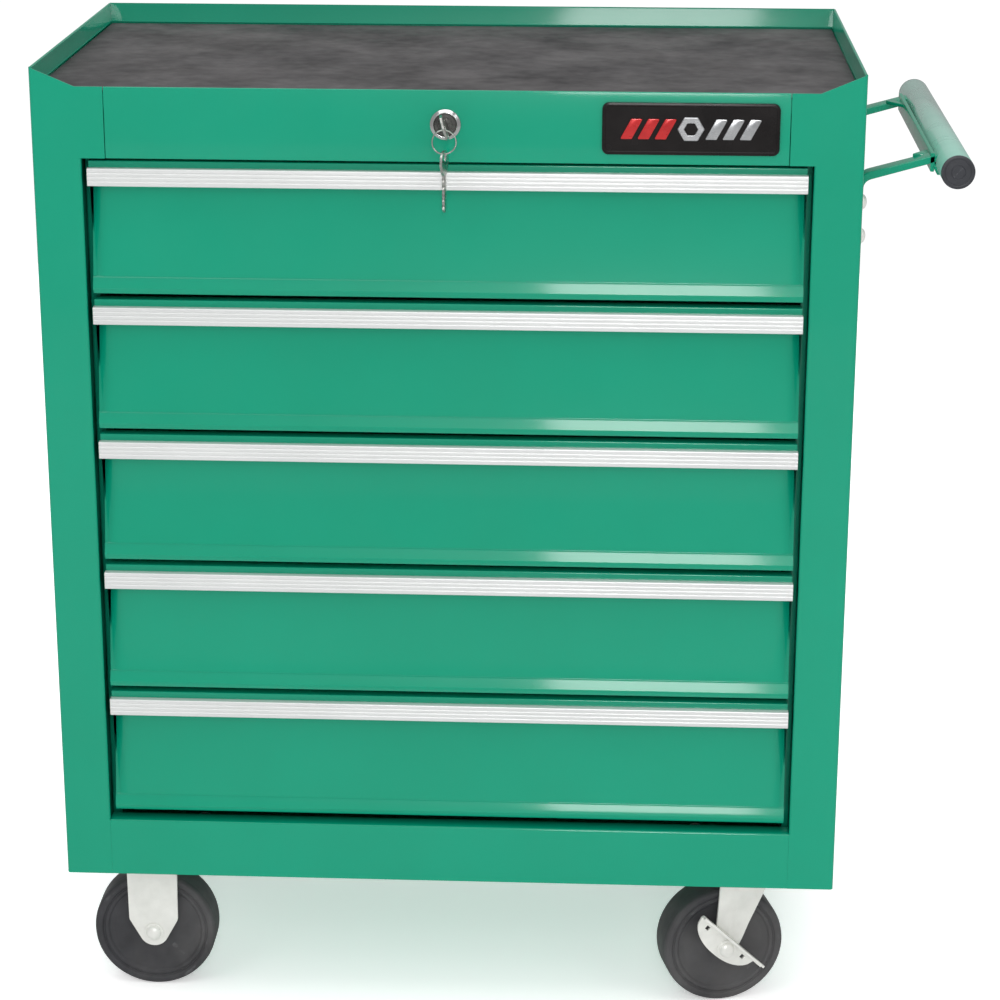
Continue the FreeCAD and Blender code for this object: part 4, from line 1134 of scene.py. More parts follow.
@dataclass
class Lock:
    """The lock's bezel and plug, the key, its split ring and the second key.

    Attributes:
        shop: Where the finishes come from.
        tilt: How far the plug and its key lean, in degrees.
        bow: Half the bow's height.
        bow_len: The bow's length from its hole's front to the shoulder.
        thick: A key's thickness.
        hole: The radius of the bow's hole.
        wire: The ring wire's radius.
    """

    shop: Paintshop
    tilt: float = 17.0
    bow: float = 9.6
    bow_len: float = 18.0
    thick: float = 2.0
    hole: float = 3.1
    wire: float = 0.5

    def __post_init__(self) -> None:
        """Reads the lock's centre and the ring's from the CAD nodes."""
        low, high = span("lock_housing")
        self.z, self.face, self.rim = (low[2] + high[2]) / 2, low[1], (high[0] - low[0]) / 2
        self.cabinet = self.face + 3.0
        ring_low, ring_high = span("key_ring")
        self.ring_y = (ring_low[1] + ring_high[1]) / 2
        self.ring_z = (ring_low[2] + ring_high[2]) / 2
        self.ring_r = (ring_high[0] - ring_low[0]) / 2 - 0.4

    def build(self) -> None:
        """Makes the lock's pieces."""
        self.bezel()
        self.plug()
        self.key()
        self.ring()
        self.second_key()
        for node in ("lock_cam", "lock_bar"):
            self.shop.dress_node(node, ZINC)

    def bezel(self) -> None:
        """The housing as one closed profile turned about the lock's axis: a rounded collar and its barrel."""
        start, base, rim = self.face, self.cabinet, self.rim + 0.9
        loop = rounded(
            [(start + 0.2, 8.55), (start, 9.2), (start + 0.9, rim - 1.2), (start + 1.8, rim), (base, rim),
             (base, 9.0), (base + 24, 9.0), (base + 24, 6.05), (start + 4.65, 6.05), (start + 4.65, 8.55)],
            [0.3, 0.5, 0.6, 0.5, 0.1, 0.1, 0.3, 0.2, 0.1, 0.1], 4)
        piece = Piece("lock_collar", "cabinet", (CHROME,), ("lock_housing",))
        piece.add(lathe(loop, Axis.Y, 64, ring=True).moved(0, 0, self.z)).make(self.shop)

    def plug(self) -> None:
        """The plug as a turned profile, with the keyway shown by two raised cheeks beside the blade."""
        start = self.face + 0.6
        profile = [
            (start + 0.35, 0.05), (start + 0.35, 5.2), (start, 5.6), (start, 7.9), (start + 0.4, 8.4),
            (start + 4.0, 8.4), (start + 4.0, 6.0), (start + 28.4, 6.0), (start + 28.4, 0.05)]
        cheek = rounded([(-0.75, -4.4), (0.75, -4.4), (0.75, 4.4), (-0.75, 4.4)], 0.5, 3)
        piece = Piece("lock_face", "lock_cylinder", (PLUG,), ("lock_plug",))
        piece.add(lathe(profile, Axis.Y, 64).moved(0, 0, self.z))
        for side in (-1, 1):
            cheeks = slab(cheek, Axis.Y, start + 0.1, start + 0.6, 0.15).moved(side * 2.1, 0, 0)
            piece.add(cheeks.tilted(-self.tilt).moved(0, 0, self.z))
        piece.make(self.shop)

    def blank(self, blade: float, teeth: float, half: float) -> Shell:
        """A key lying along -Y from its shoulder: the ring of points round its outline meets the bow's hole.

        Each outline point is joined to the hole's point at the same share of the way round, on both faces.

        Args:
            blade: The blade's length.
            teeth: How deep its cuts are.
            half: Half the blade's height.

        Returns:
            The key, with the bow's hole at the origin and the blade towards +Y.
        """
        shoulder = self.bow_len - 4.6
        cut_y = np.linspace(shoulder + 3, shoulder + blade - 3, 26)
        cut_z = -half + teeth * (0.5 - 0.5 * np.cos(cut_y * 1.3)) * (0.55 + 0.45 * np.sin(cut_y * 0.9))
        wide = self.bow
        top = [(-4.6, -0.35 * wide), (-1.6, -0.83 * wide), (4.4, -wide), (shoulder - 2.5, -0.6 * wide),
               (shoulder, -half)]
        upper = [(shoulder + blade - 2.5, half), (shoulder, half), (shoulder - 2.5, 0.6 * wide), (4.4, wide),
                 (-1.6, 0.83 * wide), (-4.6, 0.35 * wide)]
        tip = [(shoulder + blade - 0.4, -0.9), (shoulder + blade, 0.4)]
        outline = np.concatenate([
            rounded([*top, (cut_y[0], cut_z[0])], 1.1, 5, closed=False), np.stack([cut_y, cut_z], axis=1)[1:],
            rounded([*tip, *upper], 0.9, 4, closed=False)])
        angle = np.arctan2(outline[:, 1], outline[:, 0])
        hole = self.hole * np.stack([np.cos(angle), np.sin(angle)], axis=1)
        edge, half_t = 0.3, self.thick / 2
        soft = inset(outline, edge)
        rows = np.stack([hole, soft, outline, outline, soft, hole])
        level = np.array([-half_t, -half_t, -half_t + edge, half_t - edge, half_t, half_t])[:, None]
        return grid(place(rows, level, Axis.X), wrap_rows=True, wrap_cols=True)

    def key(self) -> None:
        """The key in the lock, leaning with the plug."""
        piece = Piece("key_in_lock", "door_key", (NICKEL,), ("key",))
        blank = self.blank(20, 1.6, 3.4).tilted(-self.tilt)
        piece.add(blank.moved(0, self.ring_y, self.z)).make(self.shop, crease=40)

    def ring(self) -> None:
        """The split ring: a flattened wire wound through two turns, its ends one above the other."""
        t = np.linspace(0, 1, 150)
        angle = 2 * math.pi * (2 * t + 0.08)
        shift = np.interp(t, [0, 0.42, 0.58, 1], [-0.5, -0.5, 0.5, 0.5])
        radius = self.ring_r + 0.1 * np.cos(angle * 3)
        path = np.stack([radius * np.cos(angle), shift, radius * np.sin(angle)], axis=1)
        wire = round_section(self.wire, 10)
        piece = Piece("split_ring_wire", "split_ring", (NICKEL,), ("key_ring",))
        piece.add(swept(path, wire, (0, 1, 0)).moved(0, self.ring_y, self.ring_z)).make(self.shop)

    def second_key(self) -> None:
        """The second key hangs edge-on from the ring, its blade down."""
        blank = self.blank(28, 1.3, 2.8)
        x, y, z = blank.points.T
        hung = replace(blank, points=np.stack([x, z, -y], axis=1)).yawed(-12)
        drop = self.ring_z - self.ring_r - self.hole + 0.9
        piece = Piece("second_key", "split_ring", (NICKEL,))
        piece.add(hung.moved(0, self.ring_y, drop)).make(self.shop, crease=40)


# ------------------------------------------------------------------ badge


@dataclass
class Badge:
    """A plain black plate with a plain raised emblem: a nut between slanted bars.

    Attributes:
        shop: Where the finishes come from.
        round: The plate's corner radius.
        bar_h: A bar's height.
        bar_w: A bar's width.
        lean: How far a bar's ends lean to each side.
        pitch: The distance from one bar to the next.
        nut: The nut's radius to its corners.
        bore: The radius of its hole.
    """

    shop: Paintshop
    round: float = 5.0
    bar_h: float = 15.0
    bar_w: float = 8.5
    lean: float = 4.0
    pitch: float = 12.5
    nut: float = 10.0
    bore: float = 5.0

    def build(self) -> None:
        """The plate is a slab with a sunk field; the bars are slanted outlines and the nut is a ring."""
        low, high = span("badge_plate")
        x, z = (low[0] + high[0]) / 2, (low[2] + high[2]) / 2
        width, height = high[0] - low[0], high[2] - low[2]
        outline = box_line(-width / 2, -height / 2, width / 2, height / 2, self.round, 8)
        sinks = [(0.0, high[1]), (0.0, low[1] + 0.7), (0.25, low[1] + 0.2), (0.8, low[1]), (2.2, low[1]),
                 (2.8, low[1] + 0.5)]
        rows = np.stack([inset(outline, by) for by, _ in sinks])
        level = np.array([y for _, y in sinks])[:, None]
        plate = grid(place(rows, level, Axis.Y), wrap_cols=True, lids=True)
        piece = Piece("badge", "cabinet", (BADGE, EMBLEM_SILVER, EMBLEM_RED), ("badge_plate",))
        piece.add(plate.moved(x, 0, z))
        lean, tall, wide = self.lean, self.bar_h / 2, self.bar_w / 2
        slant = [(-wide - lean, -tall), (wide - lean, -tall), (wide + lean, tall), (-wide + lean, tall)]
        face, floor = low[1] - 0.35, low[1] + 0.6
        stroke = slab(rounded(slant, 0.7, 3), Axis.Y, face, floor, 0.35)
        for n in range(3):
            offset = self.nut + self.bar_w + n * self.pitch
            piece.add(stroke.moved(x - offset, 0, z).finished(2))
            piece.add(stroke.moved(x + offset, 0, z).finished(1))
        outer = hexagon(self.nut)
        angle = np.arctan2(outer[:, 1], outer[:, 0])
        inner = self.bore * np.stack([np.cos(angle), np.sin(angle)], axis=1)
        rings = np.stack([inner, inner * 1.1, inset(outer, 0.5), outer, outer, inner])
        depth = np.array([face + 0.4, face, face, face + 0.5, floor, floor])[:, None]
        nut = grid(place(rings, depth, Axis.Y), wrap_rows=True, wrap_cols=True)
        piece.add(nut.moved(x, 0, z).finished(1)).make(self.shop)


# ------------------------------------------------------------------ handle


@dataclass
class Handle:
    """The push handle: a tube with end caps on two arms, bolted to the right side.

    Attributes:
        shop: Where the finishes come from.
        arm_w: An arm's width.
        arm_t: An arm's thickness.
        foot_t: Its foot's thickness.
        rise: How far the arms climb to the tube.
        wall: The tube's wall.
        head: A bolt head's radius.
        weld: A weld bead's radius.
        drops: How far the bolts lie under the arms' top.
    """

    shop: Paintshop
    arm_w: float = 16.0
    arm_t: float = 6.0
    foot_t: float = 3.0
    rise: float = 17.0
    wall: float = 1.5
    head: float = 5.5
    weld: float = 1.6
    drops: tuple[float, float] = (24.0, 50.0)

    def __post_init__(self) -> None:
        """Reads the handle's places from the CAD nodes."""
        low, high = span("handle_grip_tube")
        self.x, self.z = (low[0] + high[0]) / 2, (low[2] + high[2]) / 2
        self.radius, self.start, self.end = (high[0] - low[0]) / 2, low[1], high[1]
        bracket = span("handle_bracket")
        self.side, self.foot_low = bracket[0][0], bracket[0][2]
        self.arm_z = self.foot_low + 60
        self.arms = (bracket[0][1] + self.arm_w / 2, bracket[1][1] - self.arm_w / 2)

    def build(self) -> None:
        """Makes the handle's pieces."""
        self.tube()
        self.caps()
        self.bracket()
        self.bolts()

    def tube(self) -> None:
        """The tube as a closed profile turned about its own axis."""
        inner = self.radius - self.wall
        loop = rounded(
            [(self.start, inner), (self.start, self.radius), (self.end, self.radius), (self.end, inner)],
            0.4, 3)
        # The tube's paler enamel is painted sheen, laid over real gloss.
        piece = Piece("grip_tube", "cabinet", (GRIP_SHEEN,), ("handle_grip_tube",))
        piece.add(lathe(loop, Axis.Y, 72, ring=True).moved(self.x, 0, self.z)).make(self.shop)

    def caps(self) -> None:
        """Each cap is a turned profile: a rounded rim, two shallow rings and a plug inside the tube."""
        r = self.radius
        half = [
            (-2.0, 0.05), (-2.0, 4.6), (-1.75, 4.9), (-1.75, 5.3), (-2.0, 5.6), (-2.0, 9.2), (-1.7, 9.6),
            (-1.7, 10.0), (-1.9, 10.4), (-1.75, 11.7), (-1.2, r), (0.0, r), (0.0, r - 1.6), (12.0, r - 1.8),
            (12.0, 0.05)]
        cap = lathe(half, Axis.Y, 64)
        far = replace(cap, points=cap.points * np.array([1, -1, 1]))
        piece = Piece("grip_caps", "cabinet", (CAP,), ("handle_end_caps",))
        piece.add(cap.moved(self.x, self.start, self.z), far.moved(self.x, self.end, self.z)).make(self.shop)

    def strap(self, arm_y: float) -> Shell:
        """One arm with its foot: a flat bar's section carried up the foot, round the bend and out.

        The section keeps the bar's width along Y; its thickness grows through the bend from the foot's to
        the arm's, and it stays square to the line's direction.

        Args:
            arm_y: Where the arm's middle lies along Y.

        Returns:
            The arm.
        """
        half_foot = self.foot_t / 2
        line = rounded(
            [(self.side + half_foot, self.foot_low), (self.side + half_foot, self.arm_z + 1.5),
             (self.x - 1.0, self.arm_z + self.arm_t / 2 + self.rise)], 9.0, 9, closed=False)
        thick = np.interp(line[:, 1], [self.arm_z - 8, self.arm_z + 3], [self.foot_t, self.arm_t])[:, None]
        thick[0] -= 0.7
        thick[-1] -= 0.7
        section = box_line(-0.5, -0.5, 0.5, 0.5, 0.12, 4)
        points = np.empty((len(line), len(section), 3))
        points[..., 1] = arm_y + section[:, 0] * self.arm_w
        points[..., [0, 2]] = line[:, None] + (across(line) * thick)[:, None] * section[None, :, 1:]
        return grid(points, wrap_cols=True, lids=True)

    def bracket(self) -> None:
        """Two bent arms, tied by the cross strip and by corner webs."""
        piece = Piece("handle_frame", "cabinet", (ENAMEL,), ("handle_bracket",))
        strip_x = self.x - self.radius - 1.0
        mid_z = self.arm_z + self.rise - 3
        strip = box_line(strip_x - 3, mid_z - 7, strip_x, mid_z + 7, 0.7, 3)
        piece.add(bar(strip, Axis.Y, self.arms[0] - self.arm_w / 2, self.arms[1] + self.arm_w / 2))
        for arm_y, way in zip(self.arms, (1, -1)):
            start = arm_y + way * self.arm_w / 2
            corners = [
                (strip_x - 16, start - way * 2), (strip_x - 1, start + way * 20),
                (strip_x + 1, start + way * 20), (strip_x + 1, start - way * 2)]
            web = slab(rounded(corners, 1.2, 3), Axis.Z, mid_z + 1.0, mid_z + 3.6, 0.4)
            piece.add(self.strap(arm_y), web, self.bead(arm_y))
        piece.make(self.shop, bevel=0.2)

    def bead(self, arm_y: float) -> Shell:
        """A weld bead: a lumpy wire laid round the arm's end along the tube's underside.

        Args:
            arm_y: Where the arm's middle lies along Y.

        Returns:
            The bead.
        """
        loop = rounded([(-1.0, -0.5), (1.0, -0.5), (1.0, 0.5), (-1.0, 0.5)], 0.3, 16)
        t = np.arange(len(loop)) / len(loop)
        angle = np.radians(205 - 30 * loop[:, 1])
        r = self.radius + 0.2 + 0.25 * np.sin(t * 90)
        along = arm_y + loop[:, 0] * (self.arm_w / 2 + 0.5)
        path = np.stack([self.x + r * np.cos(angle), along, self.z + r * np.sin(angle)], axis=1)
        return swept(path, round_section(self.weld, 8), (0.9, 0.2, 0.42), closed=True)

    def bolts(self) -> None:
        """Domed heads with a flange outside, hexagon nuts and screw ends inside."""
        top = self.arm_z + self.arm_t
        base = self.side + self.foot_t
        head = [
            (base, 0.05), (base, self.head + 1.0), (base + 0.7, self.head + 0.9),
            *dome(self.head, 3.0, base + 0.8)]
        screw = [
            (self.side - 7, 0.05), (self.side - 7, 2.6), (self.side - 6.4, 3.0), (base + 0.5, 3.0),
            (base + 0.5, 0.05)]
        nut = slab(hexagon(5.8), Axis.X, self.side - 6, self.side - 1.02, 0.5)
        piece = Piece("handle_screws", "cabinet", (ZINC,), ("handle_bolts",))
        for arm_y in self.arms:
            for drop in self.drops:
                piece.add(*[shell.moved(0, arm_y, top - drop) for shell in (
                    lathe(head, Axis.X, 28), lathe(screw, Axis.X, 20), nut)])
        piece.make(self.shop)


# ------------------------------------------------------------------ casters

LEG_COLUMNS = 25


class Corner(Enum):
    """The four casters by their place."""

    LEFT_FRONT = "left_front"
    LEFT_REAR = "left_rear"
    RIGHT_FRONT = "right_front"
    RIGHT_REAR = "right_rear"

    @property
    def swivels(self) -> bool:
        """The right pair swivels and has brakes."""
        return self.value.startswith("right")


@dataclass
class Caster:
    """One caster: mount, fork, wheel, axle bolt, and on the right pair the brake.

    Attributes:
        shop: Where the finishes come from.
        corner: Which corner it stands at.
        yaw_deg: How far a swivel caster is turned at rest.
        trail: How far a swivel's axle lies behind its upright axis.
        leg_t: The fork's thickness.
        leg_in: How far a leg's inner face lies from the wheel's middle.
        brake_tilt: How far the brake's edge slopes, in degrees.
    """

    shop: Paintshop
    corner: Corner
    yaw_deg: float = 14.0
    trail: float = 17.5
    leg_t: float = 2.5
    leg_in: float = 17.0
    brake_tilt: float = 44.0

    def __post_init__(self) -> None:
        """Reads the wheel's centre and the plate's levels from the CAD nodes."""
        low, high = span(f"{self.node}_wheel")
        self.centre = (low + high) / 2
        self.wheel_r = (high[2] - low[2]) / 2
        self.yaw = self.yaw_deg if self.corner.swivels else 0.0
        plate = span(f"{self.node}_plate" if self.corner.swivels else f"{self.node}_fork")
        self.top = plate[1][2]
        self.axis = (plate[0] + plate[1]) / 2

    @property
    def node(self) -> str:
        """The start of this caster's CAD node names."""
        return f"{self.corner.value}_caster"

    @property
    def leg_end(self) -> float:
        """The radius of a leg's round end."""
        return 9.4 if self.corner.swivels else 12.0

    @property
    def fork_body(self) -> str:
        """The body that the fork moves with."""
        return f"{self.corner.value}_swivel" if self.corner.swivels else "cabinet"

    def build(self) -> None:
        """Makes the caster's pieces."""
        self.wheel()
        self.fork()
        self.axle()
        if self.corner.swivels:
            self.brake()
            self.shop.dress_node(f"{self.node}_plate", ZINC)

    def set_down(self, shell: Shell) -> Shell:
        """Carries a surface drawn about the wheel's centre to its place, turned with the fork."""
        return shell.yawed(self.yaw).moved(*self.centre)

    def wheel(self) -> None:
        """One closed profile turned about the axle: hub, dished web, ring groove, shoulder and tread."""
        half = [
            (16.5, 4.1), (16.5, 8.6), (15.8, 9.4), (13.4, 10.4), (12.1, 12.5), (11.6, 20), (11.9, 33),
            (12.5, 37.6), (13.9, 39.0), (14.1, 41.2), (13.2, 42.0), (13.2, 42.8), (14.6, 43.7), (15.0, 45.4),
            (14.6, 47.9), (13.0, 49.4), (10.2, 49.95), (0.6, 50)]
        side = np.array(half)
        loop = rounded(np.concatenate([side, side[::-1] * np.array([-1, 1])]), 0.9, 4)
        body = f"{self.corner.value}_wheel"
        piece = Piece(f"{self.node}_tyre", body, (RUBBER,), (f"{self.node}_wheel",))
        piece.add(self.set_down(lathe(loop, Axis.Y, 96, ring=True))).make(self.shop, crease=28)

    def leg(self, way: int) -> Shell:
        """One fork leg: rows go down to the round end, columns across between its two edges.

        The swivel's leg leans back to the axle and has a pressed crease, a soft step across its width that
        fades towards its end.

        Args:
            way: 1 for the rear leg, -1 for the front one.

        Returns:
            The leg's outer surface.
        """
        reach = self.top - 2.5 - self.centre[2]
        z = np.concatenate([
            np.linspace(reach, 0.5 * self.leg_end, 30),
            self.leg_end * np.cos(np.radians(np.linspace(63, 177, 26)))])
        left, right = (self.edge(z, reach, side) for side in (-1, 1))
        u = np.linspace(0, 1, LEG_COLUMNS)[None, :]
        x = left[:, None] + (right - left)[:, None] * u
        points = np.empty((len(z), LEG_COLUMNS, 3))
        points[..., 0], points[..., 2] = x, z[:, None]
        fade = np.clip((z[:, None] - 8) / 12, 0, 1) * (1 if self.corner.swivels else 0)
        crease = 1.7 * fade / (1 + np.exp((u - 0.5) * 30))
        outer = self.leg_in + self.leg_t
        points[..., 1] = way * (outer - 1.4 * fade + crease)
        return grid(points)

    def edge(self, z: Points, reach: float, side: int) -> Points:
        """A leg's edge at each height: down its corners, along the line that touches the end, then round it.

        The touching point lies on the end's circle, turned from the last corner's direction by the angle
        whose cosine is the end's radius over that corner's distance.

        Args:
            z: The heights over the axle.
            reach: The leg's top.
            side: 1 for the right edge, -1 for the left one.

        Returns:
            The edge's X at each height.
        """
        if self.corner.swivels:
            corners = [(self.trail + side * 22.5, reach), (self.trail + side * 22.5, reach - 10)]
        else:
            corners = [(side * 20.75, reach), (side * 20.0, 11.5)]
        x, height = corners[-1]
        angle = math.atan2(height, side * x) - math.acos(self.leg_end / math.hypot(x, height))
        touch = (side * self.leg_end * math.cos(angle), self.leg_end * math.sin(angle))
        line = np.array([*corners, touch])[::-1]
        circle = side * np.sqrt(np.maximum(self.leg_end**2 - np.minimum(z, self.leg_end) ** 2, 0.01))
        return np.where(z < touch[1], circle, np.interp(z, line[:, 1], line[:, 0]))

    def fork(self) -> None:
        """The fork: two legs, and over them a swivel's crown and deck or a rigid caster's plate."""
        piece = Piece(f"{self.node}_legs", self.fork_body, (ZINC,), (f"{self.node}_fork",))
        for way in (-1, 1):
            shell = self.leg(way)
            back = replace(shell, points=shell.points - np.array([0, way * self.leg_t, 0]))
            piece.add(self.set_down(self.close(shell, back)))
        if self.corner.swivels:
            top = self.top - self.leg_t - 0.8
            crown = rounded(
                [(top - 12, 6.2), (top - 12, 21.4), (top - 18, 23.4), (top - 19, 24.6), (top - 17.5, 25.8),
                 (top - 9, 26.4), (top - 0.6, 25.4), (top, 24.0), (top - 0.3, 22.6), (top - 9.4, 22.6),
                 (top - 9.4, 6.2)], 0.8, 4)
            piece.add(lathe(crown, Axis.Z, 64, ring=True).moved(self.axis[0], self.axis[1], 0))
            reach = self.leg_in + self.leg_t
            bridge = box_line(-22.5, -reach, 22.5, reach, 3.0, 4)
            deck = slab(bridge, Axis.Z, top - 12, top - 9.5, 0.5).yawed(self.yaw)
            piece.add(deck.moved(self.axis[0], self.axis[1], 0))
        else:
            plate = box_line(-47.5, -33.5, 47.5, 33.5, 6.0, 6)
            deck = slab(plate, Axis.Z, self.top - self.leg_t, self.top, 0.6)
            piece.add(deck.moved(self.axis[0], self.axis[1], 0))
        piece.make(self.shop, crease=30)

    @staticmethod
    def close(outer: Shell, inner: Shell) -> Shell:
        """Joins a leg's two faces along their borders into one closed skin.

        Args:
            outer: The outer face.
            inner: The inner face, point for point.

        Returns:
            The closed leg.
        """
        front, back = (face.points.reshape(-1, LEG_COLUMNS, 3) for face in (outer, inner))
        return grid(np.concatenate([front, back[:, ::-1]], axis=1), wrap_cols=True, lids=True)

    def axle(self) -> None:
        """A domed bolt head with a washer in front, a washer, a nut and the bolt's end behind."""
        near = self.leg_in + self.leg_t + (2.6 if self.corner.swivels else 0.0)
        far = self.leg_in + self.leg_t
        head = [(0.0, 0.05), (0.0, 7.6), (0.35, 8.0), (0.9, 8.0), (1.1, 7.4), (1.1, 6.4)]
        head += [(1.1 + rise, r) for rise, r in dome(6.3, 3.7, 0.0)]
        front = lathe([(-near - along, r) for along, r in head], Axis.Y, 40)
        pin_line = [(-near, 0.05), (-near, 4.0), (far + 6.4, 4.0), (far + 7.0, 3.5), (far + 7.0, 0.05)]
        pin = lathe(pin_line, Axis.Y, 28)
        washer_line = [(far + 0.01, 4.05), (far + 0.01, 8.4), (far + 1.1, 8.4), (far + 1.1, 4.05)]
        washer = lathe(washer_line, Axis.Y, 36, ring=True)
        nut = slab(hexagon(7.2), Axis.Y, far + 1.1, far + 6.0, 0.6)
        piece = Piece(f"{self.node}_bolt", self.fork_body, (ZINC,), (f"{self.node}_axle",))
        piece.add(*[self.set_down(shell) for shell in (front, pin, washer, nut)]).make(self.shop)

    def brake(self) -> None:
        """The brake: a full-bellied plate on a grid, folded outwards along its straight edge.

        Its lower edge is a superellipse: one less the 2.3th power of the distance along, to the power 0.55.
        Columns run along the straight edge, rows from the belly to it and on over the fold; rows below the
        belly are held on it, so they close up at the tips. Two cells are left out as the square holes, and a
        low bell round the axle stiffens the plate.
        """
        low, chord, half, shift, tab, bend_r, flange = 10.0, 8.0, 31.0, 5.3, 9.0, 1.6, 6.0
        hole, out, up, raise_by = 1.75, 20.5, 3.5, 1.0
        u = np.unique(np.concatenate([
            np.linspace(-half, half, 43), [s * out + e * hole for s in (-1, 1) for e in (-1, 1)],
            [half + tab * 0.4, half + tab * 0.8, half + tab]]).round(4))
        belly = np.maximum(1 - np.abs(u / half) ** 2.3, 0) ** 0.55
        arc = chord - bend_r - (chord - bend_r + low) * belly
        levels = np.array([-low, -7.5, -4.5, -1.5, up - hole, up + hole, chord - bend_r])
        v = np.maximum(levels[:, None], arc[None, :])
        bend = np.radians(np.linspace(15, 90, 5))
        fold_v = chord - bend_r + bend_r * np.sin(bend)
        fold_y = -bend_r + bend_r * np.cos(bend)
        edge_y = -flange + 1.5 * np.clip((np.abs(u + 2) - 26) / 12, 0, 1)
        v = np.concatenate([v, np.repeat(fold_v[:, None], len(u), 1), np.full((1, len(u)), chord)])
        y = np.concatenate([
            np.zeros((len(levels), len(u))), np.repeat(fold_y[:, None], len(u), 1), edge_y[None, :]])
        raised = raise_by * np.exp(-((u[None, :] - shift) / 13) ** 4) * np.exp(-((v - 0.5) / 4.2) ** 4)
        y = y - np.where(y > -0.01, raised, 0)
        points = np.stack([np.broadcast_to(u[None, :], v.shape), y, v], axis=-1)
        shell = grid(points)
        cell = points.reshape(-1, 3)[shell.quads].mean(axis=1)
        in_hole = (np.abs(np.abs(cell[:, 0]) - out) < hole) & (np.abs(cell[:, 2] - up) < hole)
        shell = replace(shell, quads=shell.quads[~in_hole]).moved(-shift, 0, 0).tilted(self.brake_tilt)
        face = -(self.leg_in + self.leg_t + 0.3 + 2.0)
        piece = Piece(f"{self.node}_pedal", f"{self.corner.value}_brake", (ZINC,), (f"{self.node}_brake",))
        piece.add(self.set_down(shell.moved(0, face, 0)))
        piece.make(self.shop, weld=True, outward=(0, -1, 0), sheet=1.9, bevel=0.3, crease=40)


# ------------------------------------------------------------------ studio


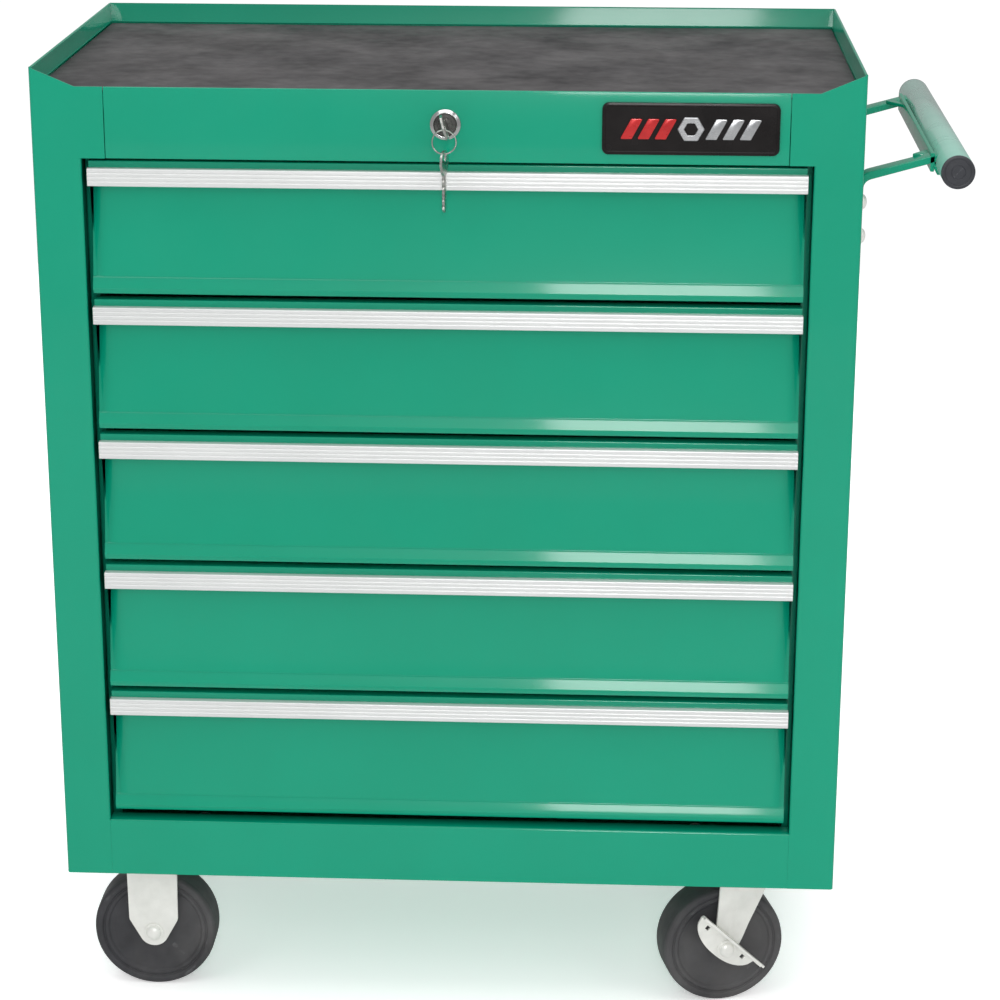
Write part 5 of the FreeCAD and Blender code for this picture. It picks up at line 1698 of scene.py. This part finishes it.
@dataclass
class Studio:
    """The pale floor, the soft lights and the camera.

    Attributes:
        camera_at: Where the camera stands, in metres.
        pitch: How far it is raised from looking straight down, in degrees.
        roll: How far it leans, in degrees.
        yaw: How far it is turned to its left, in degrees.
        lens: Its focal length in millimetres.
        shift: How far its picture is shifted, as shares of the picture's width.
        floor_half: Half the floor's side, in metres.
        floor_pale: The floor's colour as the camera and the rough surfaces see it.
        floor_dim: Its colour in glossy reflections, so that the enamel keeps its depth.
        floor_glow: How much light of its own it adds, so that it stays pale.
        glow: The strength of the light from all round.
        glossy_glow: The same in glossy reflections.
        backdrop: The same as the camera sees it.
    """

    camera_at: tuple[float, float, float] = (0.128, -2.1615, 1.101)
    pitch: float = 72.12
    roll: float = -0.09
    yaw: float = 2.75
    lens: float = 98.9
    shift: tuple[float, float] = (0.0101, -0.0235)
    floor_half: float = 2.4
    floor_pale: tuple[float, float, float, float] = (0.97, 0.97, 0.97, 1)
    floor_dim: tuple[float, float, float, float] = (0.3, 0.3, 0.3, 1)
    floor_glow: float = 0.38
    glow: float = 0.64
    glossy_glow: float = 0.36
    backdrop: float = 1.05

    def build(self) -> None:
        """Makes the stage."""
        self.floor()
        self.world()
        self.lamp("key_light", (-1.6, -2.2, 2.6), (0, 0, 0.35), (1.2, 1.2), 8)
        self.lamp("fill_light", (2.4, -1.8, 2.2), (0, 0, 0.4), (1.2, 1.2), 6)
        self.lamp("top_light", (0.0, 0.3, 4.0), (0, 0.3, 0), (4.5, 4.5), 95)
        self.lamp("front_panel", (0.2, -2.75, 1.5), (0.1, 0, 0.45), (0.38, 1.5), 23)
        self.camera()

    def floor(self) -> None:
        """A wide plain floor: one flat grid, dimmer in glossy reflections than to the camera."""
        edge = np.linspace(-self.floor_half, self.floor_half, 5) / MM
        points = np.zeros((5, 5, 3))
        points[..., 0], points[..., 1] = edge[None, :], edge[:, None]
        shell = grid(points)
        mesh = bpy.data.meshes.new("floor")
        mesh.from_pydata((shell.points * MM).tolist(), [], shell.quads.tolist())
        material = bpy.data.materials.new("floor_paint")
        material.use_nodes = True
        shader = material.node_tree.nodes["Principled BSDF"]
        net = Net(material.node_tree)
        path = net.node("ShaderNodeLightPath").outputs
        paint = net.node(
            "ShaderNodeMix", {"Factor": path["Is Glossy Ray"], 6: self.floor_pale, 7: self.floor_dim},
            data_type="RGBA").outputs[2]
        net.tree.links.new(paint, shader.inputs["Base Color"])
        net.tree.links.new(paint, shader.inputs["Emission Color"])
        shader.inputs["Roughness"].default_value = 0.9
        shader.inputs["Emission Strength"].default_value = self.floor_glow
        shader.inputs["Specular IOR Level"].default_value = 0.1
        mesh.materials.append(material)
        floor = bpy.data.objects.new("floor", mesh)
        bpy.context.scene.collection.objects.link(floor)

    def world(self) -> None:
        """Even white light from all round, dimmer in glossy reflections than to the camera."""
        world = bpy.data.worlds.new("studio")
        world.use_nodes = True
        net = Net(world.node_tree)
        path = net.node("ShaderNodeLightPath").outputs
        dim = net.node(
            "ShaderNodeMapRange",
            {"Value": path["Is Glossy Ray"], "To Min": self.glow, "To Max": self.glossy_glow})
        power = net.node(
            "ShaderNodeMapRange",
            {"Value": path["Is Camera Ray"], "To Min": dim.outputs[0], "To Max": self.backdrop})
        back = world.node_tree.nodes["Background"]
        back.inputs["Color"].default_value = (1, 1, 1, 1)
        net.tree.links.new(power.outputs[0], back.inputs["Strength"])
        bpy.context.scene.world = world
        bpy.context.scene.view_settings.view_transform = "Standard"

    def lamp(
        self, name: str, at: tuple[float, float, float], aim: tuple[float, float, float],
        size: tuple[float, float], power: float,
    ) -> None:
        """Adds a soft light with straight sides.

        Args:
            name: The light's name.
            at: Where it stands, in metres.
            aim: The point that it faces.
            size: Its width and height.
            power: Its power in watts.
        """
        data = bpy.data.lights.new(name, "AREA")
        data.shape, data.energy = "RECTANGLE", power
        data.size, data.size_y = size
        light = bpy.data.objects.new(name, data)
        bpy.context.scene.collection.objects.link(light)
        light.location = at
        way = np.array(aim) - np.array(at)
        flat = math.hypot(way[0], way[1])
        light.rotation_euler = (math.atan2(flat, -way[2]), 0, math.atan2(-way[0], way[1]))

    def camera(self) -> None:
        """The camera, looking down at the chest from a little to the right of its middle."""
        data = bpy.data.cameras.new("camera")
        data.lens, data.sensor_width = self.lens, 36.0
        data.shift_x, data.shift_y = self.shift
        data.clip_end = 200
        camera = bpy.data.objects.new("camera", data)
        bpy.context.scene.collection.objects.link(camera)
        camera.location = self.camera_at
        camera.rotation_euler = (
            math.radians(self.pitch), math.radians(self.roll), math.radians(self.yaw))
        bpy.context.scene.camera = camera


def main() -> None:
    """Builds the chest in order."""
    logging.basicConfig(level=logging.INFO)
    shop = Paintshop()
    Studio().build()
    Cabinet(shop).build()
    for number in range(1, DRAWERS + 1):
        Drawer(shop, number).build()
    Lock(shop).build()
    Badge(shop).build()
    Handle(shop).build()
    for corner in Corner:
        Caster(shop, corner).build()
    bpy.context.view_layer.update()


if __name__ == "__main__":
    main()
